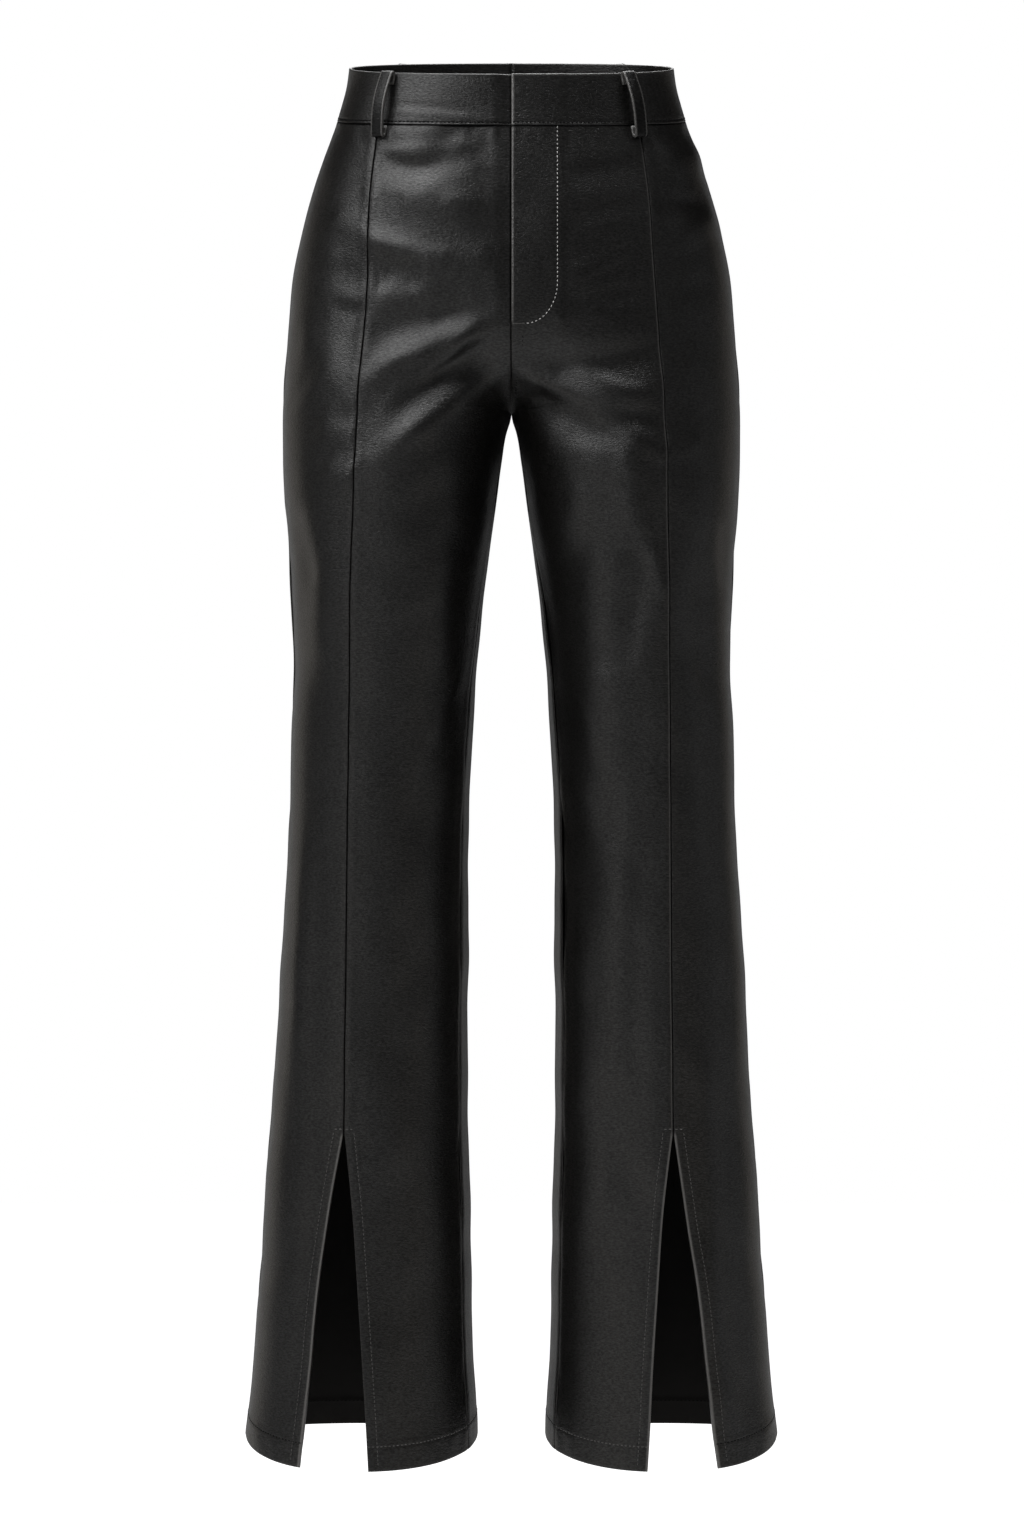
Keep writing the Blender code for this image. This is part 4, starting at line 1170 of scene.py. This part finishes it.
def loop_route():
    """A loop's own shape: distances down from its top and out from the band, tab to tab.

    Both ends turn under to a tab on the band, and the strip bows out between them.
    """
    length = WAIST_SEAM + LOOP_REACH - LOOP_TOP
    bow = LOOP_BOW + LOOP_WALL / 2 - 2 * LOOP_TURN
    half_turn = np.linspace(0.0, math.pi, LOOP_TURN_STEPS + 1)
    turn_down = LOOP_TURN - LOOP_TURN * np.sin(half_turn)
    turn_lift = LOOP_TURN - LOOP_TURN * np.cos(half_turn)
    share = np.linspace(0.0, 1.0, LOOP_STRIP_STEPS + 1)[1:-1]
    strip_down = LOOP_TURN + (length - 2 * LOOP_TURN) * share
    strip_lift = 2 * LOOP_TURN + bow * np.sin(math.pi * share)
    tab = LOOP_TURN + LOOP_TAB
    down = np.concatenate([[tab, tab - LOOP_TAB / 2], turn_down, strip_down, length - turn_down[::-1],
                           [length - tab + LOOP_TAB / 2, length - tab]])
    lift = np.concatenate([[0.0, 0.0], turn_lift, strip_lift, turn_lift[::-1], [0.0, 0.0]])
    return np.stack([down, lift], axis=1)


def loop_section():
    """A loop's cross-section, from one wall's middle round: a strip with soft edges and a low crown."""
    half, thick, soft = LOOP_WIDTH / 2, LOOP_WALL / 2, 0.0007
    corners = []
    for side, wall in ((1, 1), (-1, 1), (-1, -1), (1, -1)):
        arc = [(1.0, 0.0), (0.7, 0.7), (0.0, 1.0)]
        if side * wall < 0:
            arc = arc[::-1]
        for wide, deep in arc:
            corners.append((side * (half - soft + soft * wide), wall * (thick - soft + soft * deep)))
        if wall > 0 and side > 0:
            for share in (0.66, 0.33, 0.0, -0.33, -0.66):
                dip = 0.00022 * bump(abs(share) * half - (half - LOOP_STITCH), 0.0007)
                corners.append((share * (half - soft), thick + 0.0001 - dip))
    return corners


def loop_frame(side, face, x_top, x_bottom):
    """A loop's start, its direction down, the way out from the band, and the way beside."""
    part = "front_centre" if face > 0 else "back"
    places = []
    for line, x in ((LOOP_TOP, x_top), (WAIST_SEAM + LOOP_REACH, x_bottom)):
        across = np.linspace(0.0, 1.0, 400)[None, :] if face > 0 else np.linspace(1.0, 0.0, 400)[None, :]
        line_grid = np.full_like(across, line)
        down = drop_of(part, side, line_grid, across)
        points, out = cloth(part, side, down, across, line_grid, None, None, band=True)
        place = min(int(np.searchsorted(points[0, :, 0], x)), 399)
        point, way = points[0, place], out[0, place]
        if x == 0.0:
            point, way = np.array([0.0, *points[0, 0, 1:]]), np.array([0.0, *out[0, 0, 1:]])
        places.append((point, way))
    (top, top_out), (bottom, bottom_out) = places
    down_it = (bottom - top) / np.linalg.norm(bottom - top)
    out = top_out + bottom_out
    out -= down_it * np.dot(out, down_it)
    out /= np.linalg.norm(out)
    return top, down_it, out, np.cross(down_it, out)


def add_belt_loop(name, material, thread):
    """A folded strip with its ends turned under, seated where the solid loop is."""
    side, face, x_top, x_bottom = LOOPS[name]
    top, down_it, out, beside = loop_frame(side, face, x_top, x_bottom)
    route = loop_route()
    before = np.vstack([route[:1], route[:-1]])
    after = np.vstack([route[1:], route[-1:]])
    run = after - before
    run /= np.linalg.norm(run, axis=1, keepdims=True)
    seat = loop_seat(name, top, down_it, out, beside, side, route)
    section = loop_section()
    # Painted highlight along the loop's two sides and painted shade over the rest of it.
    loop_painted_light = [1.25 * smooth((abs(wide) / LOOP_WIDTH - 0.38) / 0.06) - 0.55 for wide, deep in section]
    rings = []
    for (down, lift), (run_down, run_lift) in zip(route, run):
        rings.append((top + down_it * down + out * (lift + seat), down_it * run_lift - out * run_down))
    points = []
    for middle, thick in rings:
        for wide, deep in section:
            points.append(to_side(middle + beside * wide - thick * deep, side))
    faces = [list(range(len(section)))]
    for ring in range(len(route) - 1):
        for corner in range(len(section)):
            after_corner = (corner + 1) % len(section)
            faces.append([ring * len(section) + corner, ring * len(section) + after_corner,
                          (ring + 1) * len(section) + after_corner, (ring + 1) * len(section) + corner])
    last = (len(route) - 1) * len(section)
    faces.append([last + corner for corner in reversed(range(len(section)))])
    piece = add_piece("leather_" + name, points, faces, [material], None,
                      {"seam": np.full(len(points), 0.5), "edge": np.tile(loop_painted_light, len(route))})
    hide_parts(name)
    paths = []
    for place in (-1, 1):
        offset = beside * place * (LOOP_WIDTH / 2 - LOOP_STITCH)
        rows = [(middle + offset - thick * (LOOP_WALL / 2 - LOOP_THREAD_SINK), -thick)
                for middle, thick in rings[LOOP_BARE_RINGS:-LOOP_BARE_RINGS]]
        paths.append((to_side(np.array([row[0] for row in rows]), side),
                      to_side(np.array([row[1] for row in rows]), side)))
    add_stitches("stitches_" + name, paths, thread, LOOP_PITCH, "belt_loops",
                 length=LOOP_STITCH_LENGTH, width=LOOP_STITCH_WIDTH)
    return piece


def loop_seat(name, top, down_it, out, beside, side, route):
    """How far the loop's middle line stands off its start, so that it lies where its solid lies."""
    low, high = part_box(name)
    corners = []
    for down, lift in route:
        for wide in (-LOOP_WIDTH / 2, LOOP_WIDTH / 2):
            corners.append(to_side(top + down_it * down + out * lift + beside * wide, side))
    corners = np.array(corners)
    way = to_side(out, side)
    axis = 1
    reach = (high[axis] if way[axis] > 0 else low[axis])
    own = corners[:, axis].max() if way[axis] > 0 else corners[:, axis].min()
    return float((reach - own) / way[axis]) - LOOP_WALL / 2


# ---------------------------------------------------------------- materials

def node_material(name):
    """An empty node material and its tree."""
    material = bpy.data.materials.new(name)
    material.use_nodes = True
    tree = material.node_tree
    return material, tree, tree.nodes["Principled BSDF"]


def noise(tree, coordinates, scale, detail, stretch=(1.0, 1.0, 1.0), roughness=0.5):
    """A noise texture over stretched object coordinates."""
    mapping = tree.nodes.new("ShaderNodeMapping")
    mapping.inputs["Scale"].default_value = stretch
    tree.links.new(coordinates, mapping.inputs["Vector"])
    texture = tree.nodes.new("ShaderNodeTexNoise")
    texture.inputs["Scale"].default_value = scale
    texture.inputs["Detail"].default_value = detail
    texture.inputs["Roughness"].default_value = roughness
    tree.links.new(mapping.outputs["Vector"], texture.inputs["Vector"])
    return texture.outputs["Fac"]


def math_node(tree, operation, first, second):
    """One math node over sockets or numbers."""
    node = tree.nodes.new("ShaderNodeMath")
    node.operation = operation
    for place, value in enumerate((first, second)):
        if isinstance(value, (int, float)):
            node.inputs[place].default_value = value
        else:
            tree.links.new(value, node.inputs[place])
    return node.outputs[0]


def map_range(tree, value, low, high, to_low, to_high):
    """Maps one range of a value onto another."""
    node = tree.nodes.new("ShaderNodeMapRange")
    for label, number in (("From Min", low), ("From Max", high), ("To Min", to_low), ("To Max", to_high)):
        node.inputs[label].default_value = number
    tree.links.new(value, node.inputs["Value"])
    return node.outputs["Result"]


def add_bump(tree, height, distance, strength, normal=None):
    """One bump on top of another."""
    node = tree.nodes.new("ShaderNodeBump")
    node.inputs["Distance"].default_value = distance
    node.inputs["Strength"].default_value = strength
    tree.links.new(height, node.inputs["Height"])
    if normal is not None:
        tree.links.new(normal, node.inputs["Normal"])
    return node.outputs["Normal"]


LEATHER_DARK = (0.0036, 0.0034, 0.0032, 1.0)
LEATHER_LIGHT = (0.0066, 0.0063, 0.0059, 1.0)
# The near black of painted shade in grooves, and the grey of painted highlights along turned edges.
LEATHER_PAINTED_SHADE = (0.0008, 0.0008, 0.0008, 1.0)
LEATHER_PAINTED_HIGHLIGHT = (0.095, 0.092, 0.088, 1.0)
LEATHER_SHEEN = (0.37, 0.67)
LEATHER_GLOSS = (0.29, 0.37)


def mix_colours(tree, factor, first, second):
    """A mix of two colours, of which the first may be another node's."""
    mix = tree.nodes.new("ShaderNodeMix")
    mix.data_type = "RGBA"
    if isinstance(first, tuple):
        mix.inputs["A"].default_value = first
    else:
        tree.links.new(first, mix.inputs["A"])
    mix.inputs["B"].default_value = second
    tree.links.new(factor, mix.inputs["Factor"])
    return mix.outputs["Result"]


def leather_material(name):
    """Black faux leather: pebbled grain, fine wrinkles, puckers beside seams, uneven satin gloss, highlights
    painted along turned edges and shade painted in grooves.
    """
    material, tree, shader = node_material(name)
    place = tree.nodes.new("ShaderNodeTexCoord").outputs["Object"]
    seam = tree.nodes.new("ShaderNodeAttribute")
    seam.attribute_name = "seam"
    seam = seam.outputs["Fac"]

    # The edge layer: a painted highlight over 0, painted shade under 0.
    painted_light = tree.nodes.new("ShaderNodeAttribute")
    painted_light.attribute_name = "edge"
    edge = map_range(tree, painted_light.outputs["Fac"], 0.0, 1.0, 0.0, 1.0)
    painted_shade = map_range(tree, painted_light.outputs["Fac"], 0.0, -1.0, 0.0, 1.0)

    mottle = noise(tree, place, 14.0, 5.0)
    wrinkle = noise(tree, place, 560.0, 3.0, (0.75, 0.75, 1.7), 0.55)
    grain = map_range(tree, wrinkle, 0.33, 0.67, 0.0, 1.0)
    shade = math_node(tree, "ADD", math_node(tree, "MULTIPLY", mottle, 0.4),
                      math_node(tree, "MULTIPLY", grain, 0.6))
    shade = map_range(tree, shade, 0.2, 0.8, 0.0, 1.0)
    colour = mix_colours(tree, shade, LEATHER_DARK, LEATHER_LIGHT)
    # Painted highlight, then painted shade, over the leather's own tone.
    colour = mix_colours(tree, edge, colour, LEATHER_PAINTED_HIGHLIGHT)
    colour = mix_colours(tree, painted_shade, colour, LEATHER_PAINTED_SHADE)
    tree.links.new(colour, shader.inputs["Base Color"])
    # The sheen follows the grain, rises with the painted highlight and all but goes at painted shade.
    sheen = math_node(tree, "ADD", map_range(tree, grain, 0.0, 1.0, *LEATHER_SHEEN),
                      math_node(tree, "MULTIPLY", edge, 0.4))
    sheen = math_node(tree, "MULTIPLY", sheen, map_range(tree, painted_shade, 0.0, 1.0, 1.0, 0.08))
    tree.links.new(sheen, shader.inputs["Specular IOR Level"])

    gloss = math_node(tree, "ADD", mottle, math_node(tree, "MULTIPLY", noise(tree, place, 90.0, 4.0), 0.6))
    gloss = map_range(tree, gloss, 0.5, 1.1, *LEATHER_GLOSS)
    tree.links.new(gloss, shader.inputs["Roughness"])

    cells = tree.nodes.new("ShaderNodeTexVoronoi")
    cells.feature = "DISTANCE_TO_EDGE"
    cells.inputs["Scale"].default_value = 950.0
    tree.links.new(place, cells.inputs["Vector"])
    pebble = map_range(tree, cells.outputs["Distance"], 0.0, 0.25, 0.0, 1.0)
    normal = add_bump(tree, pebble, 0.00006, 0.7)
    normal = add_bump(tree, wrinkle, 0.00050, 0.60, normal)
    streaks = noise(tree, place, 120.0, 4.0, (0.8, 0.8, 2.6), 0.6)
    streak_height = math_node(tree, "MULTIPLY", streaks, map_range(tree, seam, 0.0, 1.0, 0.16, 1.0))
    normal = add_bump(tree, streak_height, 0.0008, 0.45, normal)
    tree.links.new(normal, shader.inputs["Normal"])
    shader.inputs["IOR"].default_value = 1.5
    return material


def lining_material():
    """The knitted backing of the faux leather, seen inside the waist and through the slits."""
    material, tree, shader = node_material("backing_knit")
    place = tree.nodes.new("ShaderNodeTexCoord").outputs["Object"]
    mottle = noise(tree, place, 40.0, 4.0)
    mix = tree.nodes.new("ShaderNodeMix")
    mix.data_type = "RGBA"
    mix.inputs["A"].default_value = (0.0060, 0.0055, 0.0050, 1.0)
    mix.inputs["B"].default_value = (0.0110, 0.0100, 0.0092, 1.0)
    tree.links.new(mottle, mix.inputs["Factor"])
    tree.links.new(mix.outputs["Result"], shader.inputs["Base Color"])
    rows = noise(tree, place, 900.0, 2.0, (1.0, 1.0, 2.2))
    normal = add_bump(tree, rows, 0.0002, 0.6)
    tree.links.new(normal, shader.inputs["Normal"])
    shader.inputs["Roughness"].default_value = 0.85
    shader.inputs["Specular IOR Level"].default_value = 0.25
    return material


def thread_material(name, dark, light):
    """Sewing thread with a twist."""
    material, tree, shader = node_material(name)
    place = tree.nodes.new("ShaderNodeTexCoord").outputs["Object"]
    twist = noise(tree, place, 2400.0, 2.0)
    mix = tree.nodes.new("ShaderNodeMix")
    mix.data_type = "RGBA"
    mix.inputs["A"].default_value = dark
    mix.inputs["B"].default_value = light
    tree.links.new(twist, mix.inputs["Factor"])
    tree.links.new(mix.outputs["Result"], shader.inputs["Base Color"])
    tree.links.new(add_bump(tree, twist, 0.0002, 0.5), shader.inputs["Normal"])
    shader.inputs["Roughness"].default_value = 0.85
    shader.inputs["Specular IOR Level"].default_value = 0.15
    return material


# ---------------------------------------------------------------- camera, stage and lights

FRAME_HEIGHT = 1536        # of the photograph, in pixels
METRES_PER_PIXEL = 0.000757
CAMERA_DISTANCE = 4.5
CAMERA_DOWN = 0.5300
CAMERA_SIDE = 0.0004
SENSOR_HEIGHT = 24.0


def add_camera():
    """A camera level with the middle of the trousers, square to their front."""
    data = bpy.data.cameras.new("camera")
    data.sensor_fit = "VERTICAL"
    data.sensor_height = SENSOR_HEIGHT
    data.lens = SENSOR_HEIGHT * CAMERA_DISTANCE / (FRAME_HEIGHT * METRES_PER_PIXEL)
    data.clip_end = 50.0
    camera = bpy.data.objects.new("camera", data)
    camera.location = (CAMERA_SIDE, -CAMERA_DISTANCE, -CAMERA_DOWN)
    camera.rotation_euler = (math.radians(90.0), 0.0, 0.0)
    bpy.context.scene.collection.objects.link(camera)
    bpy.context.scene.camera = camera


# Area lights round the trousers: the height they aim at, and their azimuth from the camera's side
# of the object, to image right.  The powers of the first 15 began as a program's fit to the
# photograph, and four of them were then changed by hand.  The last five were added.
LIGHTS = table(
    "aim azimuth elevation distance width height watts warmth",
    (-0.15, -75.0, 25.0, 1.9, 0.8, 0.8, 1.1, 0.0),
    (-0.15, -60.0, 45.0, 1.9, 0.8, 0.8, 7.9, 0.0),
    (-0.15, -40.0, 30.0, 1.9, 0.8, 0.8, 9.4, 0.0),
    (-0.15, -35.0, 55.0, 1.9, 0.8, 0.8, 2.3, 0.0),
    (-0.15, 55.0, 35.0, 1.9, 0.8, 0.8, 0.7, 0.0),
    (-0.50, -130.0, 0.0, 2.4, 0.6, 2.0, 3.4, 0.1),
    (-0.50, -90.0, 0.0, 2.4, 0.6, 2.0, 1.5, 0.0),
    (-0.50, -60.0, 0.0, 2.4, 0.6, 2.0, 2.6, 0.0),
    (-0.50, -30.0, 0.0, 2.4, 0.6, 2.0, 3.7, 0.0),
    (-0.50, 0.0, 0.0, 2.4, 0.6, 2.0, 1.7, 0.0),
    (-0.50, 30.0, 0.0, 2.4, 0.6, 2.0, 1.0, 0.0),
    (-0.50, 60.0, 0.0, 2.4, 0.6, 2.0, 1.3, 0.0),
    (-0.50, 90.0, 0.0, 2.4, 0.6, 2.0, 2.1, 0.0),
    (-0.50, 130.0, 0.0, 2.4, 0.6, 2.0, 2.0, 0.1),
    (-0.30, 0.0, 82.0, 2.0, 1.2, 1.2, 37.9, 0.0),
    (-0.50, -155.0, 0.0, 2.4, 0.6, 2.0, 1.8, 0.0),
    (-0.50, 155.0, 0.0, 2.4, 0.6, 2.0, 1.3, 0.0),
    (-0.45, 180.0, 50.0, 2.3, 1.0, 1.0, 18.0, 0.0),
    (-1.00, -40.0, -5.0, 1.5, 0.8, 0.3, 0.3, 0.3),
    (-1.00, 40.0, -5.0, 1.5, 0.8, 0.3, 0.3, 0.3),
)


def add_lights():
    """Soft boxes, each aimed at a height on the trousers' middle line."""
    for row in range(len(LIGHTS["azimuth"])):
        light = {name: float(column[row]) for name, column in LIGHTS.items()}
        data = bpy.data.lights.new(f"soft_box_{row}", "AREA")
        data.shape = "RECTANGLE"
        data.size = light["width"]
        data.size_y = light["height"]
        data.energy = light["watts"]
        data.color = (1.0, 1.0 - light["warmth"] * 0.6, 1.0 - light["warmth"] * 1.4)
        azimuth, elevation = math.radians(light["azimuth"]), math.radians(light["elevation"])
        way = Vector((math.sin(azimuth) * math.cos(elevation), -math.cos(azimuth) * math.cos(elevation),
                      math.sin(elevation)))
        box = bpy.data.objects.new(data.name, data)
        box.location = Vector((0.0, 0.0, light["aim"])) + way * light["distance"]
        box.rotation_euler = (-way).to_track_quat("-Z", "Y").to_euler()
        bpy.context.scene.collection.objects.link(box)


WORLD_LIGHT = 0.004


def add_stage():
    """A pale floor and a white surround that lights the leather only softly."""
    world = bpy.data.worlds.new("studio")
    bpy.context.scene.world = world
    world.use_nodes = True
    tree = world.node_tree
    background = tree.nodes["Background"]
    background.inputs["Color"].default_value = (1.0, 1.0, 1.0, 1.0)
    path = tree.nodes.new("ShaderNodeLightPath")
    strength = tree.nodes.new("ShaderNodeMapRange")
    strength.inputs["To Min"].default_value = WORLD_LIGHT
    strength.inputs["To Max"].default_value = 1.0
    tree.links.new(path.outputs["Is Camera Ray"], strength.inputs["Value"])
    tree.links.new(strength.outputs["Result"], background.inputs["Strength"])

    material, tree, shader = node_material("pale_floor")
    shader.inputs["Base Color"].default_value = (0.8, 0.8, 0.8, 1.0)
    shader.inputs["Roughness"].default_value = 0.9
    shader.inputs["Emission Color"].default_value = (1.0, 1.0, 1.0, 1.0)
    path = tree.nodes.new("ShaderNodeLightPath")
    tree.links.new(path.outputs["Is Camera Ray"], shader.inputs["Emission Strength"])
    mesh = bpy.data.meshes.new("floor")
    half = 6.0
    height = -1.30
    corners = [(-half, -half, height), (half, -half, height), (half, half, height), (-half, half, height)]
    mesh.from_pydata(corners, [], [(0, 1, 2, 3)])
    mesh.materials.append(material)
    floor = bpy.data.objects.new("floor", mesh)
    bpy.context.scene.collection.objects.link(floor)
    bpy.context.scene.view_settings.view_transform = "Standard"
    bpy.context.scene.view_settings.look = "None"


# ---------------------------------------------------------------- the whole


def main():
    add_camera()
    add_stage()
    add_lights()
    leather = leather_material("faux_leather")
    backing = lining_material()
    dark_thread = thread_material("dark_thread", (0.001, 0.001, 0.001, 1.0), (0.004, 0.004, 0.004, 1.0))
    pale_thread = thread_material("pale_thread", (0.38, 0.375, 0.37, 1.0), (0.72, 0.71, 0.70, 1.0))
    worn_thread = thread_material("worn_thread", (0.06, 0.059, 0.058, 1.0), (0.18, 0.176, 0.172, 1.0))
    for side in SIDES:
        band = add_waistband(side, [leather, leather])
        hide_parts(f"waistband_{side}")
        add_stitches(f"stitches_waistband_{side}", waist_paths(side), dark_thread, slot="waistband",
                     width=BAND_STITCH_WIDTH)
        for part in PARTS:
            panel = add_panel(part, side, [leather, backing])
            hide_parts(f"{part}_{side}")
            hem_thread = worn_thread if part == "front_centre" else dark_thread
            add_stitches(f"stitches_hem_{part}_{side}", hem_paths(part, side), hem_thread)
            if part == "back":
                add_stitches(f"stitches_hem_inside_{side}", hem_paths(part, side, inside=True), dark_thread)
            else:
                add_stitches(f"stitches_slit_bar_{part}_{side}", slit_bar_paths(part, side), worn_thread,
                             width=SLIT_BAR_WIDTH)
                paths = slit_paths(part, side)
                add_stitches(f"stitches_slit_{part}_{side}", paths, worn_thread, width=SLIT_STITCH_WIDTH)
    add_stitches("stitches_fly", fly_paths(), pale_thread, FLY_PITCH,
                 length=FLY_STITCH_LENGTH, width=FLY_STITCH_WIDTH)
    add_stitches("stitches_crotch", crotch_paths(), dark_thread, FLY_PITCH)
    add_stitches("stitches_bartack", bartack_paths(), worn_thread, BARTACK_PITCH,
                 length=BARTACK_LENGTH, width=BARTACK_WIDTH)
    for name in LOOPS:
        add_belt_loop(name, leather, dark_thread)


main()
